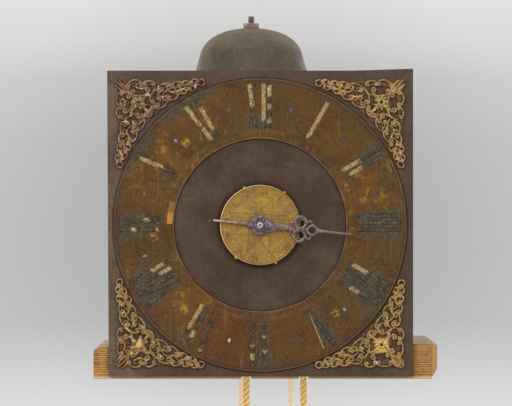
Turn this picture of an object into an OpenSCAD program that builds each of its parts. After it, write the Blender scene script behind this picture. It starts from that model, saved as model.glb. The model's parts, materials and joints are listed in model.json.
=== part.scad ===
// Thirty-hour posted-frame clock movement with a square dial, one hour hand and an alarm disc.
// Millimetres. X runs to the viewer's right, Y away from the dial, Z up.
// The origin is on the underside of the seatboard, under the hand's axis.

/* [Seatboard] */
// Length of the board along the dial
board_w = 286; // [280:1:320]
// Depth of the board, front to back
board_d = 157; // [155:1:175]
// Thickness of the board
board_t = 29; // [24:0.5:32]
// How far the board's middle lies to the right of the hand's axis
board_shift = 4.5; // [0:0.5:8]

/* [Dial] */
// Side of the square dial plate
dial_w = 254; // [250:1:264]
// Thickness of the dial plate
dial_t = 2; // [1.5:0.1:2.4]
// Height of the dial's lower edge above the board's underside
dial_foot = 2; // [1:0.5:6]
// Rise of the sprung upper right corner
corner_rise = 1.6; // [0:0.1:2]
// Outer diameter of the chapter ring
ring_outer_d = 243; // [236:1:246]
// Inner diameter of the chapter ring
ring_inner_d = 143.6; // [136:0.2:150]
// Thickness of the chapter ring
ring_t = 1.6; // [1.2:0.1:2]
// Depth of the engraved numerals
numeral_cut = 0.5; // [0.2:0.1:0.8]
// Width of a numeral's stroke
stroke_w = 3.8; // [3:0.1:5]
// Diameter of the alarm disc
disc_d = 66.4; // [60:0.2:76]
// Length of the hour hand from its centre to its tip
hand_len = 79; // [74:0.5:90]
// Thickness of the hour hand
hand_t = 1.6; // [1.2:0.1:2]
// Length of one leg of a spandrel
spandrel_leg = 75; // [70:0.5:78]

/* [Frame] */
// Distance between the left and right posts
frame_w = 114; // [112:1:120]
// Distance between the front and back posts
frame_d = 124; // [122:1:130]
// Side of a square post
post_side = 12; // [10:0.5:13]
// Clear height between the bottom and top plates
clear_h = 165; // [163:1:172]
// Thickness of the bottom and top plates
plate_t = 3.5; // [3:0.1:4]
// Thickness of the upright bars that carry the arbors
bar_t = 4; // [3:0.2:4.6]
// Width of an upright bar
bar_w = 18; // [16:0.5:20]

/* [Trains] */
// Tooth module of the two great wheels
great_module = 1.1; // [1.08:0.01:1.12]
// Tooth module of the third wheels' pinions
upper_module = 0.85; // [0.84:0.01:0.87]
// Tooth module of the hour wheel
hour_module = 1.05; // [1.04:0.01:1.07]
// Thickness of the great wheels
great_t = 2.5; // [2:0.1:3]
// Thickness of the lighter wheels
wheel_t = 1.8; // [1.4:0.1:2.2]
// Radius of the escape wheel
escape_r = 20; // [18.5:0.1:20.4]
// Diameter of the arbors
arbor_d = 5; // [4:0.1:5.4]
// Diameter of the pivots
pivot_d = 2.4; // [1.8:0.1:3]
// Radial clearance of a pivot in its hole
pivot_gap = 0.05; // [0.03:0.01:0.09]

/* [Bell] */
// Radius of the bell where the dome meets the skirt
bell_r = 37.5; // [35:0.1:39]
// Height of the bell from crown to mouth
bell_h = 46.6; // [44:0.1:50]
// Thickness of the bell
bell_t = 2.5; // [2:0.1:3]
// Height of the bell's crown above the top plate
bell_lift = 95; // [93:0.5:98]

/* [Ropes] */
// Diameter of the going rope
going_rope_d = 5.5; // [4.5:0.1:5.8]
// Diameter of the strike rope
strike_rope_d = 4.5; // [4:0.1:5]

/* [Hidden] */
$fn = 64;

// Clearances
seat_gap = 0.02;
part_gap = 0.5;
cut_over = 1;

// Heights of the frame
plate_z = board_t;
floor_z = plate_z + plate_t;
ceiling_z = floor_z + clear_h;
roof_z = ceiling_z + plate_t;

// Depths of the frame, front to back
post_x = frame_w / 2;
post_y = frame_d / 2;
plate_rim = 9;
plate_half_x = post_x + plate_rim;
plate_half_y = post_y + plate_rim;
bar_y = post_y - 2;
front_bar_front = -bar_y - bar_t / 2;
front_bar_back = -bar_y + bar_t / 2;
middle_bar_front = -bar_t / 2;
middle_bar_back = bar_t / 2;
back_bar_front = bar_y - bar_t / 2;
back_bar_back = bar_y + bar_t / 2;
bar_x = 4;

// Depths of the dial, counted from the front posts
dial_stand_off = 16;
dial_back = -post_y - post_side / 2 - dial_stand_off;
dial_front = dial_back - dial_t;
ring_front = dial_front - ring_t;
disc_t = 1.6;
disc_back = ring_front - 0.8;
disc_front = disc_back - disc_t;
peg_h = 1.2;
hand_back = disc_front - peg_h - part_gap;
hand_front = hand_back - hand_t;
collet_t = 1.2;
stud_front = hand_front - collet_t - 2.8;

// Heights of the dial
hand_drop = 1.2;
dial_z = dial_foot + dial_w / 2;
hand_z = dial_z - hand_drop;
hour_axis = [0, hand_z];
hand_angle = 95.8;

// A place at a distance and a lean from the vertical, positive to the right
function leant(from, far, lean) = from + far * [sin(lean), cos(lean)];

// Teeth
hour_teeth = 72;
report_leaves = 6;
great_teeth = 56;
great_leaves = 7;
second_teeth = 60;
second_leaves = 8;
escape_teeth = 30;
hoop_teeth = 54;
hoop_leaves = 6;
warning_teeth = 48;
warning_leaves = 6;
warning_module = upper_module - 0.05;
count_teeth = 78;
count_leaves = 8;
count_module = upper_module - 0.1;

function mesh_distance(teeth, leaves, mod) = (teeth + leaves) * mod / 2;

// Going train axes, each an X and a Z
going_lean = 163;
second_lean = 15;
escape_lean = -36;
going_axis = leant(hour_axis, mesh_distance(hour_teeth, report_leaves, hour_module), going_lean);
second_axis = leant(going_axis, mesh_distance(great_teeth, great_leaves, great_module), second_lean);
escape_axis = leant(second_axis, mesh_distance(second_teeth, second_leaves, upper_module), escape_lean);
pallet_axis = escape_axis + [0, escape_r * sqrt(2)];

// Strike train axes
strike_x = 5;
hoop_lean = 35;
warning_lean = -42;
fly_lean = 50;
count_lean = -50;
strike_axis = [strike_x, going_axis[1]];
hoop_axis = leant(strike_axis, mesh_distance(great_teeth, great_leaves, great_module), hoop_lean);
warning_axis = leant(hoop_axis, mesh_distance(hoop_teeth, hoop_leaves, upper_module), warning_lean);
fly_axis = leant(warning_axis, mesh_distance(warning_teeth, warning_leaves, warning_module), fly_lean);
count_axis = leant(strike_axis, mesh_distance(count_teeth, count_leaves, count_module), count_lean);

// Axes of the levers on the left side
lever_x = post_side / 2 + 6 - post_x;
hammer_axis = [lever_x + 11, going_axis[1] + 11.4];
lifting_axis = [lever_x + 3, hand_z - 15.8];
locking_axis = [lever_x, hand_z + 3.2];
release_axis = [lever_x, hand_z + 20.2];

// Depths of the going train
going_rope_y = -45;
great_front = -36.5;
second_wheel_y = -21;
escape_wheel_y = -48;
hour_wheel_front = front_bar_front - 10;
hour_wheel_t = 1.6;
report_front = hour_wheel_front - 2;
report_back = hour_wheel_front + hour_wheel_t + 2.4;

// Depths of the strike train
strike_rope_y = 45;
strike_great_front = 33;
hoop_wheel_y = 19;
hoop_depth = 7;
warning_wheel_y = 52;
fly_front = 27;
fly_back = 43;
fly_half = 15.5;
count_front = post_y + post_side / 2 + 1;
count_t = 1.8;

// Rope pulleys
going_rope_r = 23.5;
strike_rope_r = 21.7;
spike_h = 1.2;
ratchet_r = 14;
ratchet_teeth = 18;
click_t = 2;
click_pivot_r = 21.5;
click_sweep = 34;

// Bell
bell_x = -7.5;
dome_h = 22;
dome_power = 2.3;
skirt_flare = 0.28;
crown_z = roof_z + bell_lift;
mouth_z = crown_z - bell_h;
bell_stud_d = 5;
bell_nut_w = 13.6;
bell_nut_h = 4.2;

// Depths at the back
crutch_y = 82;
cock_y = 90;
verge_y = 90;
verge_x = -40;
crown_wheel_z = ceiling_z - 23;
crown_wheel_r = 11;
bracket_y = post_y + post_side / 2;
bracket_t = 3;
verge_arm = 38;

// Rope routes, as points chosen by hand: X, Y, Z from the pulley down
going_left_route = [[-11.5, -45, 88.6], [-11.5, -45, 75], [-11.5, -45, 61], [-11.5, -45, 47],
    [-11.5, -45, 33], [-11.5, -45, 19], [-11.5, -45, 5], [-11.5, -45, -9], [-11.5, -45, -23],
    [-11.5, -45, -36]];
going_right_route = [[35.5, -45, 88.6], [35.5, -45, 75], [35.6, -45, 61], [35.8, -45, 47],
    [36, -45, 33], [36.2, -45, 19], [36.4, -45, 5], [36.6, -45, -9], [36.8, -45, -23],
    [37, -45, -34]];
strike_left_route = [[-16.7, 45, 88.6], [-16.7, 45, 75], [-16.7, 45, 61], [-16.7, 45, 47],
    [-16.7, 45, 33], [-16.7, 45, 19], [-16.7, 45, 5], [-16.7, 45, -9], [-16.7, 45, -23],
    [-16.7, 45, -36]];
strike_right_route = [[26.7, 45, 88.6], [26.7, 45, 75], [26.7, 45, 61], [26.7, 45, 47],
    [26.7, 45, 33], [26.7, 45, 19], [26.7, 45, 5], [26.7, 45, -9], [26.7, 45, -23],
    [26.7, 45, -34]];
rope_sides = 10;

// A flat shape drawn in X and Z, given depth from y0 back to y1
module slab(y0, y1) {
    translate([0, y1, 0]) rotate([90, 0, 0]) linear_extrude(y1 - y0) children();
}

// A round rod along Y at an axis, from y0 back to y1
module rod(axis, y0, y1, d) {
    translate([axis[0], y0, axis[1]]) rotate([-90, 0, 0]) cylinder(h = y1 - y0, d = d);
}

// A ring-shaped lathe-turned shape about an axis along Y, with its profile as radius and depth
module turned(axis, profile) {
    translate([axis[0], 0, axis[1]]) rotate([-90, 0, 0]) rotate_extrude() polygon(profile);
}

// A straight flat arm between two places, drawn in X and Z
module arm(a, b, w) {
    reach = norm(b - a);
    translate(a) rotate(atan2(b[1] - a[1], b[0] - a[0])) translate([0, -w / 2]) square([reach, w]);
}

// A straight flat arm whose width changes from w0 to w1
module taper_arm(a, b, w0, w1) {
    reach = norm(b - a);
    translate(a) rotate(atan2(b[1] - a[1], b[0] - a[0]))
        polygon([[0, -w0 / 2], [reach, -w1 / 2], [reach, w1 / 2], [0, w0 / 2]]);
}

module disc_at(p, r) {
    translate(p) circle(r = r);
}

function heading(from, to) = atan2(to[1] - from[1], to[0] - from[0]);
function on_circle(centre, r, angle) = centre + r * [cos(angle), sin(angle)];

// Clock teeth: the wheel's tips are epicycloids rolled by a circle of half the pinion's pitch radius
tooth_share = 0.47;
wheel_tip = 1.25;
wheel_root = 1.5;
leaf_share = 0.34;
leaf_tip = 0.55;
function roll_angle(r, roll, rho) =
    (roll / r) * acos(((r + roll) * (r + roll) + roll * roll - rho * rho) / (2 * roll * (r + roll)));
function flank_turn(r, roll, rho) =
    let (t = roll_angle(r, roll, rho), k = (r + roll) / roll)
    atan2((r + roll) * sin(t) - roll * sin(k * t), (r + roll) * cos(t) - roll * cos(k * t));
function tooth_half(teeth) = 90 * tooth_share * 2 / teeth;

// Outline of one wheel tooth as radius and angle from its middle, right flank then left
function tooth(teeth, leaves, mod) =
    let (r = teeth * mod / 2, roll = leaves * mod / 4, half = tooth_half(teeth),
        mid = r + wheel_tip * mod * 0.55, tip = r + wheel_tip * mod)
    [[r - wheel_root * mod, -half], [r, -half], [mid, flank_turn(r, roll, mid) - half],
        [tip, flank_turn(r, roll, tip) - half], [tip, half - flank_turn(r, roll, tip)],
        [mid, half - flank_turn(r, roll, mid)], [r, half], [r - wheel_root * mod, half]];

// Outline of one pinion leaf, with radial flanks and a rounded tip
function leaf(leaves, mod) =
    let (r = leaves * mod / 2, half = 180 * leaf_share / leaves, root = r - (wheel_tip + 0.3) * mod)
    [[root, -half], [r, -half], [r + leaf_tip * mod * 0.7, -half * 0.62], [r + leaf_tip * mod, 0],
        [r + leaf_tip * mod * 0.7, half * 0.62], [r, half], [root, half]];

// A ring of teeth with the first tooth's middle at an angle
module toothed(outline, count, first) {
    polygon([for (i = [0:count - 1]) for (p = outline)
        p[0] * [cos(first + i * 360 / count + p[1]), sin(first + i * 360 / count + p[1])]]);
}

function rim_radius(teeth, mod) = (teeth / 2 - wheel_root) * mod;

// A spoked wheel, with a tooth facing the pinion that it drives
module spoked_wheel(teeth, leaves, mod, toward, rim_w, hub_r, spoke = 5) {
    inner = rim_radius(teeth, mod) - rim_w;
    difference() {
        toothed(tooth(teeth, leaves, mod), teeth, toward);
        circle(r = inner);
    }
    circle(r = hub_r);
    for (i = [0:3]) rotate(45 + i * 90)
        translate([0, -spoke / 2]) square([inner + rim_w / 2, spoke]);
}

// A pinion with a gap facing the wheel that drives it
module pinion(leaves, mod, toward) {
    toothed(leaf(leaves, mod), leaves, toward + 180 / leaves);
}

// A steel arbor between two bars, with a pivot in each and its body thinned away at the pinion
shoulder_gap = 1;
pivot_reach = 0.8;
module arbor(axis, y0, y1, leaf0, leaf1, d = arbor_d) {
    rod(axis, y0 + shoulder_gap, leaf0, d);
    rod(axis, leaf1, y1 - shoulder_gap, d);
    rod(axis, y0 - pivot_reach * bar_t, y0 + 2 * shoulder_gap, pivot_d);
    rod(axis, y1 - 2 * shoulder_gap, y1 + pivot_reach * bar_t, pivot_d);
}

// An upright bar: a strip between the plates, tenons at both ends and an arm to each hole
lobe_wall = 3.6;
arm_w = 8;
tenon_w = 10;
wedge_rise = 6;
module bar(y, holes) {
    difference() {
        slab(y - bar_t / 2, y + bar_t / 2) {
            translate([bar_x - bar_w / 2, floor_z]) square([bar_w, clear_h]);
            translate([bar_x - tenon_w / 2, plate_z]) square([tenon_w, clear_h + 2 * plate_t + wedge_rise]);
            for (h = holes) {
                disc_at([h[0], h[1]], h[2] + lobe_wall);
                arm([bar_x, h[1]], [h[0], h[1]], arm_w);
            }
        }
        slab(y - bar_t, y + bar_t) for (h = holes) disc_at([h[0], h[1]], h[2]);
        translate([bar_x - wedge_w / 2, y - bar_t, roof_z]) cube([wedge_w, 2 * bar_t, wedge_h]);
    }
}
wedge_w = 4;
wedge_h = 3;
wedge_len = 12;
function hole(axis, r) = [axis[0], axis[1], r];
function pivot(axis) = hole(axis, pivot_d / 2 + pivot_gap);
function journal(axis) = hole(axis, journal_d / 2 + pivot_gap);
journal_d = 3.6;

// Seatboard
rope_room = 1.3;
bolt_x = 42;
bolt_d = 6;
bolt_head_w = 12;
bolt_head_h = 4;
bolt_sink = 2;
going_hole_x = [going_left_route[6][0], going_right_route[6][0]];
strike_hole_x = [strike_left_route[6][0], strike_right_route[6][0]];
board_front = dial_back + 2;
board_left = board_shift - board_w / 2;
board_right = board_shift + board_w / 2;
hewn_len = 26;
hewn_drop = 4;
left_wear = 1.6;
right_wear = 5.5;
right_lift = 8;
module seatboard() {
    color("burlywood") difference() {
        // Outline seen from the front: hewn lower towards the left end, worn at the lower right
        translate([0, board_front + board_d, 0]) rotate([90, 0, 0]) linear_extrude(board_d)
            polygon([[board_left, 0], [board_right - right_wear, 0], [board_right, right_lift],
                [board_right, board_t - left_wear], [board_right - left_wear, board_t],
                [board_left + hewn_len, board_t], [board_left + left_wear, board_t - hewn_drop],
                [board_left, board_t - hewn_drop - 2 * left_wear]]);
        // Upright edge planed off at the front right end
        translate([board_right, board_front, -cut_over]) linear_extrude(board_t + 2 * cut_over)
            polygon([[-right_wear, -cut_over], [cut_over, -cut_over], [cut_over, right_wear]]);
        for (x = going_hole_x) board_notch(x);
        for (x = strike_hole_x) translate([x, strike_rope_y, -cut_over])
            cylinder(d = strike_rope_d + 2 * rope_room + 1, h = board_t + 2 * cut_over);
        for (x = [-bolt_x, bolt_x]) translate([x, 0, -cut_over]) {
            cylinder(d = bolt_d + 2 * seat_gap, h = board_t + 2 * cut_over);
            cylinder(d = bolt_head_w * 1.5, h = bolt_head_h + bolt_sink + cut_over);
        }
    }
}

// A slot for the going rope, open to the board's front edge
module board_notch(x) {
    w = going_rope_d + 2 * rope_room;
    translate([x - w / 2, board_front - cut_over, -cut_over])
        cube([w, going_rope_y - board_front + cut_over, board_t + 2 * cut_over]);
    translate([x, going_rope_y, -cut_over]) cylinder(d = w, h = board_t + 2 * cut_over);
}

// Bolts that hold the bottom plate to the board, with their heads sunk in its underside
module seatboard_bolts() {
    nut_w = 10;
    nut_h = 4;
    color("slategray") for (x = [-bolt_x, bolt_x]) translate([x, 0, 0]) {
        translate([0, 0, bolt_sink]) cylinder(d = bolt_head_w, h = bolt_head_h, $fn = 6);
        translate([0, 0, bolt_sink]) cylinder(d = bolt_d, h = floor_z + nut_h + 2 - bolt_sink);
        translate([-nut_w / 2, -nut_w / 2, floor_z]) cube([nut_w, nut_w, nut_h]);
    }
}

module frame_plate(z) {
    translate([-plate_half_x, -plate_half_y, z]) cube([2 * plate_half_x, 2 * plate_half_y, plate_t]);
}

// Square holes for the tenons of the three bars
module tenon_holes(z) {
    for (y = [-bar_y, 0, bar_y])
        translate([bar_x - tenon_w / 2 - seat_gap, y - bar_t / 2 - seat_gap, z - cut_over])
            cube([tenon_w + 2 * seat_gap, bar_t + 2 * seat_gap, plate_t + 2 * cut_over]);
}

// A round hole through a frame plate
module plate_hole(x, y, z, d) {
    translate([x, y, z - cut_over]) cylinder(d = d, h = plate_t + 2 * cut_over);
}

module post_holes(z) {
    for (x = [-post_x, post_x], y = [-post_y, post_y]) plate_hole(x, y, z, post_tenon_d + 2 * seat_gap);
}

post_tenon_d = 7;
post_nut_w = 11;
post_nut_h = 5;

module bottom_plate() {
    color("dimgray") difference() {
        frame_plate(plate_z);
        tenon_holes(plate_z);
        post_holes(plate_z);
        for (x = going_hole_x) plate_hole(x, going_rope_y, plate_z, going_rope_d + 2 * rope_room + 1);
        for (x = strike_hole_x) plate_hole(x, strike_rope_y, plate_z, strike_rope_d + 2 * rope_room + 1);
        for (x = [-bolt_x, bolt_x]) plate_hole(x, 0, plate_z, bolt_d + 2 * seat_gap);
        translate([spring_foot_x, hammer_y, plate_z - cut_over])
            cylinder(d = spring_rivet_d + 2 * seat_gap, h = plate_t + 2 * cut_over);
    }
}

// The top plate, with a slot where the hammer's shaft swings
hammer_y = 12;
slot_x0 = -48;
slot_x1 = -20;
slot_w = 9;
module top_plate() {
    color("dimgray") difference() {
        frame_plate(ceiling_z);
        tenon_holes(ceiling_z);
        post_holes(ceiling_z);
        translate([slot_x0, hammer_y - slot_w / 2, ceiling_z - cut_over])
            cube([slot_x1 - slot_x0, slot_w, plate_t + 2 * cut_over]);
        plate_hole(bell_x, 0, ceiling_z, stand_tenon_d + 2 * seat_gap);
        for (x = cock_rivet_x) plate_hole(x, cock_rivet_y, ceiling_z, cock_rivet_d + 2 * seat_gap);
    }
}

// Square iron posts with round tenons, drilled for the dial feet and the alarm bracket's studs
foot_z = [floor_z + 28, ceiling_z - 18];
foot_d = 6;
bracket_stud_z = [crown_wheel_z - 12, crown_wheel_z + 8];
bracket_stud_d = 4;
module corner_posts() {
    color("dimgray") difference() {
        for (x = [-post_x, post_x], y = [-post_y, post_y]) translate([x, y, 0]) {
            translate([-post_side / 2, -post_side / 2, floor_z]) cube([post_side, post_side, clear_h]);
            translate([0, 0, plate_z]) cylinder(d = post_tenon_d, h = roof_z + post_nut_h + 1.5 - plate_z);
        }
        for (x = [-post_x, post_x], z = foot_z)
            rod([x, z], -post_y - post_side, -post_y + post_side, foot_d + 2 * seat_gap);
        for (z = bracket_stud_z)
            rod([-post_x, z], post_y - post_side, post_y + post_side, bracket_stud_d + 2 * seat_gap);
    }
}

module post_nuts() {
    color("dimgray") for (x = [-post_x, post_x], y = [-post_y, post_y])
        translate([x, y, roof_z]) difference() {
            translate([-post_nut_w / 2, -post_nut_w / 2, 0]) cube([post_nut_w, post_nut_w, post_nut_h]);
            translate([0, 0, -cut_over])
                cylinder(d = post_tenon_d + 2 * seat_gap, h = post_nut_h + 2 * cut_over);
        }
}

pallet_room = 6;
module front_bar() {
    color("dimgray") bar(-bar_y, [journal(going_axis), pivot(second_axis), pivot(escape_axis),
        pivot(pallet_axis), journal(lifting_axis), journal(release_axis),
        hole(hour_axis, stud_d / 2 + seat_gap)]);
}

module middle_bar() {
    color("dimgray") bar(0, [pivot(going_axis), pivot(second_axis), pivot(escape_axis),
        pivot(strike_axis), pivot(hoop_axis), pivot(warning_axis), pivot(fly_axis), pivot(hammer_axis),
        journal(lifting_axis), journal(locking_axis), hole(pallet_axis, pallet_room)]);
}

// The back bar also carries the count wheel's riveted stud
count_stud_d = 5;
module back_bar() {
    color("dimgray") {
        bar(bar_y, [journal(strike_axis), pivot(hoop_axis), pivot(warning_axis), pivot(fly_axis),
            pivot(hammer_axis), pivot(lifting_axis), journal(locking_axis), journal(release_axis),
            hole(count_axis, count_stud_d / 2), hole(pallet_axis, pallet_room)]);
        rod(count_axis, back_bar_front, count_back + 2.6, count_stud_d);
        rod(count_axis, back_bar_back, count_front - 0.3, count_stud_d + 4);
        rod(count_axis, count_back + 0.4, count_back + 1.6, count_stud_d + 3);
    }
}

module bar_wedges() {
    color("slategray") for (y = [-bar_y, 0, bar_y])
        translate([bar_x - wedge_w / 2 + seat_gap, y - wedge_len / 2, roof_z])
            cube([wedge_w - 2 * seat_gap, wedge_len, wedge_h - seat_gap]);
}

// Dial plate, slightly out of square, with a sprung corner at the upper right
dial_skew = 1.4;
alarm_pipe_r = 5.2;
foot_rivet_d = 4;
spandrel_margin = 6.5;
screw_back = 19.9;
screw_inset = spandrel_margin + screw_back;
screw_shank_d = 3;
dial_top = dial_foot + dial_w;
function screw_places() = [for (sx = [-1, 1], sz = [-1, 1])
    [sx * (dial_w / 2 - screw_inset), dial_z + sz * (dial_w / 2 - screw_inset)]];
module dial_plate() {
    half = dial_w / 2;
    color([0.3, 0.24, 0.2]) difference() {
        slab(dial_front, dial_back) polygon([[-half + dial_skew, dial_foot], [half, dial_foot],
            [half, dial_top + corner_rise], [half - 50, dial_top], [-half, dial_top]]);
        slab(dial_front - cut_over, dial_back + cut_over) {
            disc_at(hour_axis, alarm_pipe_r + 0.3);
            for (x = [-post_x, post_x], z = foot_z) disc_at([x, z], foot_rivet_d / 2 + seat_gap);
            for (p = screw_places()) disc_at(p, screw_shank_d / 2 + seat_gap);
        }
    }
}

// Chapter ring with its engraved hours, as strokes leaning from a line through the centre
numeral_r0 = 80.5;
numeral_r1 = 117.5;
numeral_step = 5.9;
lean = 8;
thin_share = 0.34;
// Each hour as strokes: place along the ring in steps, lean to the left, and 1 where the stroke is thin
numerals = [
    [[-1.1, 1, 0], [-1.1, -1, 1], [0.5, 0, 0], [1.3, 0, 0]],
    [[-0.35, 0, 0]],
    [[-0.85, 0, 0], [0.15, 0, 0]],
    [[-1.3, 0, 0], [-0.35, 0, 0], [0.65, 0, 0]],
    [[-1.7, 0, 0], [-0.7, 0, 0], [0.3, 0, 0], [1.3, 0, 0]],
    [[-0.25, 1, 0], [0.55, -1, 1]],
    [[-0.6, 0.4, 0], [0.1, -1, 1], [1.08, 0, 0]],
    [[-1.1, 1, 0], [-0.35, -1, 1], [0.55, 0, 0], [1.45, 0, 0]],
    [[-1.5, 1, 0], [-0.75, -1, 1], [0.1, 0, 0], [1.1, 0, 0], [2.05, 0, 0]],
    [[-0.65, 0, 0], [0.6, 1, 0], [0.6, -1, 1]],
    [[0.05, 1, 0], [0.05, -1, 1]],
    [[-0.35, 1, 0], [-0.35, -1, 1], [0.98, 0, 0]]];
module chapter_ring() {
    mid = (numeral_r0 + numeral_r1) / 2;
    long = numeral_r1 - numeral_r0;
    color([0.42, 0.32, 0.16]) difference() {
        slab(ring_front, dial_front) difference() {
            disc_at(hour_axis, ring_outer_d / 2, $fn = 128);
            disc_at(hour_axis, ring_inner_d / 2, $fn = 128);
        }
        slab(ring_front - cut_over, ring_front + numeral_cut) for (h = [0:11], s = numerals[h])
            translate(hour_axis) rotate(-30 * h) translate([s[0] * numeral_step, mid])
                rotate(s[1] * lean) square([s[2] == 1 ? thin_share * stroke_w : stroke_w, long],
                    center = true);
    }
}

// Spandrel: lobes between the plate's edge and the ring, joined by a pierced web, with raised scrolls
spandrel_t = 2.4;
web_t = 1.4;
lobes = 6;
spandrel_gap = 1.2;
lobe_back = 34;
lobe_side = 12;
fan_back = 8;
function corner_room() = dial_w / 2 - spandrel_margin;
function arc_clear() = ring_outer_d / 2 + spandrel_gap;
// Half the room between the edge and the ring, at a distance from the dial's middle
function lobe_size(s) = min(7.5, (corner_room() - sqrt(max(0, arc_clear() * arc_clear() - s * s))) / 2);
module spandrel_shape() {
    for (i = [0:lobes - 1]) {
        s = corner_room() - spandrel_leg + 4 + i * (spandrel_leg - 18) / (lobes - 1);
        r = lobe_size(s);
        disc_at([s, corner_room() - r], r);
        disc_at([corner_room() - r, s], r);
    }
    c = corner_room();
    disc_at([c - screw_back, c - screw_back], 12);
    disc_at([c - fan_back, c - fan_back], 7);
    disc_at([c - lobe_back, c - lobe_side], 9);
    disc_at([c - lobe_side, c - lobe_back], 9);
    disc_at([c - 26, c - lobe_back], 6);
    disc_at([c - lobe_back, c - 26], 6);
}
module spandrel(sx, sz) {
    c = corner_room();
    color([0.62, 0.47, 0.24]) translate([0, 0, hour_axis[1] + hand_drop]) scale([sx, 1, sz]) difference() {
        union() {
            slab(dial_front - web_t, dial_front) spandrel_clipped();
            slab(dial_front - spandrel_t, dial_front) intersection() {
                spandrel_clipped();
                spandrel_scrolls();
            }
        }
        slab(dial_front - spandrel_t - cut_over, dial_front + cut_over) {
            disc_at([c - screw_back, c - screw_back], screw_shank_d / 2 + seat_gap);
            for (p = [[c - 12, c - 27], [c - 27, c - 12], [c - 35, c - 17], [c - 17, c - 35]]) disc_at(p, 2);
        }
    }
}
module spandrel_clipped() {
    difference() {
        spandrel_shape();
        disc_at([0, -hand_drop], arc_clear(), $fn = 128);
        disc_at([0, hand_drop], arc_clear(), $fn = 128);
    }
}
// Raised rings that stand for the scrolls and the central flower
module spandrel_scrolls() {
    c = corner_room();
    for (p = [[c - screw_back, c - screw_back, 8], [c - fan_back, c - fan_back, 5.5],
        [c - lobe_back, c - lobe_side, 6.5], [c - lobe_side, c - lobe_back, 6.5]])
        difference() {
            disc_at([p[0], p[1]], p[2]);
            disc_at([p[0], p[1]], p[2] - 2.2);
        }
    for (i = [0:lobes - 1]) {
        s = c - spandrel_leg + 4 + i * (spandrel_leg - 18) / (lobes - 1);
        r = lobe_size(s);
        for (p = [[s, c - r], [c - r, s]]) difference() {
            disc_at(p, r * 0.8);
            disc_at(p, r * 0.35);
        }
    }
}
module spandrel_top_left() { spandrel(-1, 1); }
module spandrel_top_right() { spandrel(1, 1); }
module spandrel_bottom_left() { spandrel(-1, -1); }
module spandrel_bottom_right() { spandrel(1, -1); }

module spandrel_screws() {
    head_d = 7;
    head_h = 1.6;
    front = dial_front - web_t;
    color([0.7, 0.55, 0.28]) for (p = screw_places()) {
        rod(p, front - head_h, front, head_d);
        rod(p, front - head_h, dial_back + 2, screw_shank_d);
    }
}

// Dial feet: a pillar from the plate to the front post, then a spigot through the post
pin_d = 2;
spigot_over = 4;
pin_y = -post_y + post_side / 2 + pin_d / 2 + 0.05;
module dial_feet() {
    color([0.62, 0.5, 0.25]) difference() {
        for (x = [-post_x, post_x], z = foot_z) {
            rod([x, z], dial_front, dial_back + 1, foot_rivet_d);
            rod([x, z], dial_back, -post_y - post_side / 2, foot_d + 3);
            rod([x, z], -post_y - post_side / 2 - 1, -post_y + post_side / 2 + spigot_over, foot_d);
        }
        for (x = [-post_x, post_x], z = foot_z) translate([x, pin_y, z - foot_d])
            cylinder(d = pin_d + 2 * seat_gap, h = 2 * foot_d);
    }
}

module dial_pins() {
    color("silver") for (x = [-post_x, post_x], z = foot_z) translate([x, pin_y, z - 7])
        cylinder(d = pin_d, h = 14);
}

// Fixed stud on the front bar that carries the hour wheel and, at its front end, the hand's pin
stud_d = 3.8;
stud_collar_d = 8;
hand_pin_d = 1.2;
hand_pin_y = stud_front + 1.4;
module hour_stud() {
    color("slategray") difference() {
        union() {
            rod(hour_axis, stud_front, front_bar_back, stud_d);
            rod(hour_axis, hub_back + 0.3, front_bar_front, stud_collar_d);
        }
        translate([hour_axis[0], hand_pin_y, hour_axis[1] - stud_d])
            cylinder(d = hand_pin_d + 2 * seat_gap, h = 2 * stud_d);
    }
}

// Hour wheel with its pipe, and twelve pins that lift the striking once an hour
hour_pipe_r = 3.9;
pipe_square = 5.4;
hub_back = hour_wheel_front + hour_wheel_t + 4;
lift_pins = 12;
lift_pin_r = 31;
lift_pin_d = 1.5;
module hour_wheel() {
    wheel_back = hour_wheel_front + hour_wheel_t;
    color([0.6, 0.48, 0.22]) difference() {
        union() {
            slab(hour_wheel_front, wheel_back) translate(hour_axis)
                spoked_wheel(hour_teeth, report_leaves, hour_module, heading(hour_axis, going_axis), 8, 9);
            rod(hour_axis, hour_wheel_front, hub_back, 12);
            rod(hour_axis, hand_back, hour_wheel_front + 1, 2 * hour_pipe_r);
            slab(hand_front - 0.4, hand_back + 1) translate(hour_axis)
                square(pipe_square, center = true);
            for (i = [0:lift_pins - 1])
                rod(on_circle(hour_axis, lift_pin_r, i * 360 / lift_pins + 5), wheel_back - 1,
                    wheel_back + 3.4, lift_pin_d);
        }
        rod(hour_axis, hand_front - 2, hub_back + cut_over, stud_d + 2 * pivot_gap);
    }
}

// Hour hand: a tapered tail, a swelling boss, two round loops, a teardrop loop and a fine pointer
hand_tail = 38.5;
loop_x = 33;
loop_side = 5.6;
module hand_shape() {
    polygon([[-hand_tail, -0.5], [-12, -1.4], [-7, -3], [-7, 3], [-12, 1.4], [-hand_tail, 0.5]]);
    circle(r = 8.2);
    polygon([[0, -8], [6, -7], [11, -4.6], [17, -2.9], [24, -1.8], [24, 1.8], [17, 2.9], [11, 4.6],
        [6, 7], [0, 8]]);
    for (side = [-1, 1]) {
        difference() {
            disc_at([loop_x, side * loop_side], 5.9);
            disc_at([loop_x, side * loop_side], 3.5);
        }
        disc_at([loop_x + 8, side * 5.4], 2);
        disc_at([loop_x - 6, side * 2.6], 2);
    }
    difference() {
        disc_at([26.5, 0], 2.8);
        disc_at([26.5, 0], 1);
    }
    difference() {
        disc_at([43, 0], 5.2);
        disc_at([43.6, 0], 2.9);
    }
    polygon([[47, -2.6], [52, -1.3], [hand_len, -0.3], [hand_len, 0.3], [52, 1.3], [47, 2.6]]);
}
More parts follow.
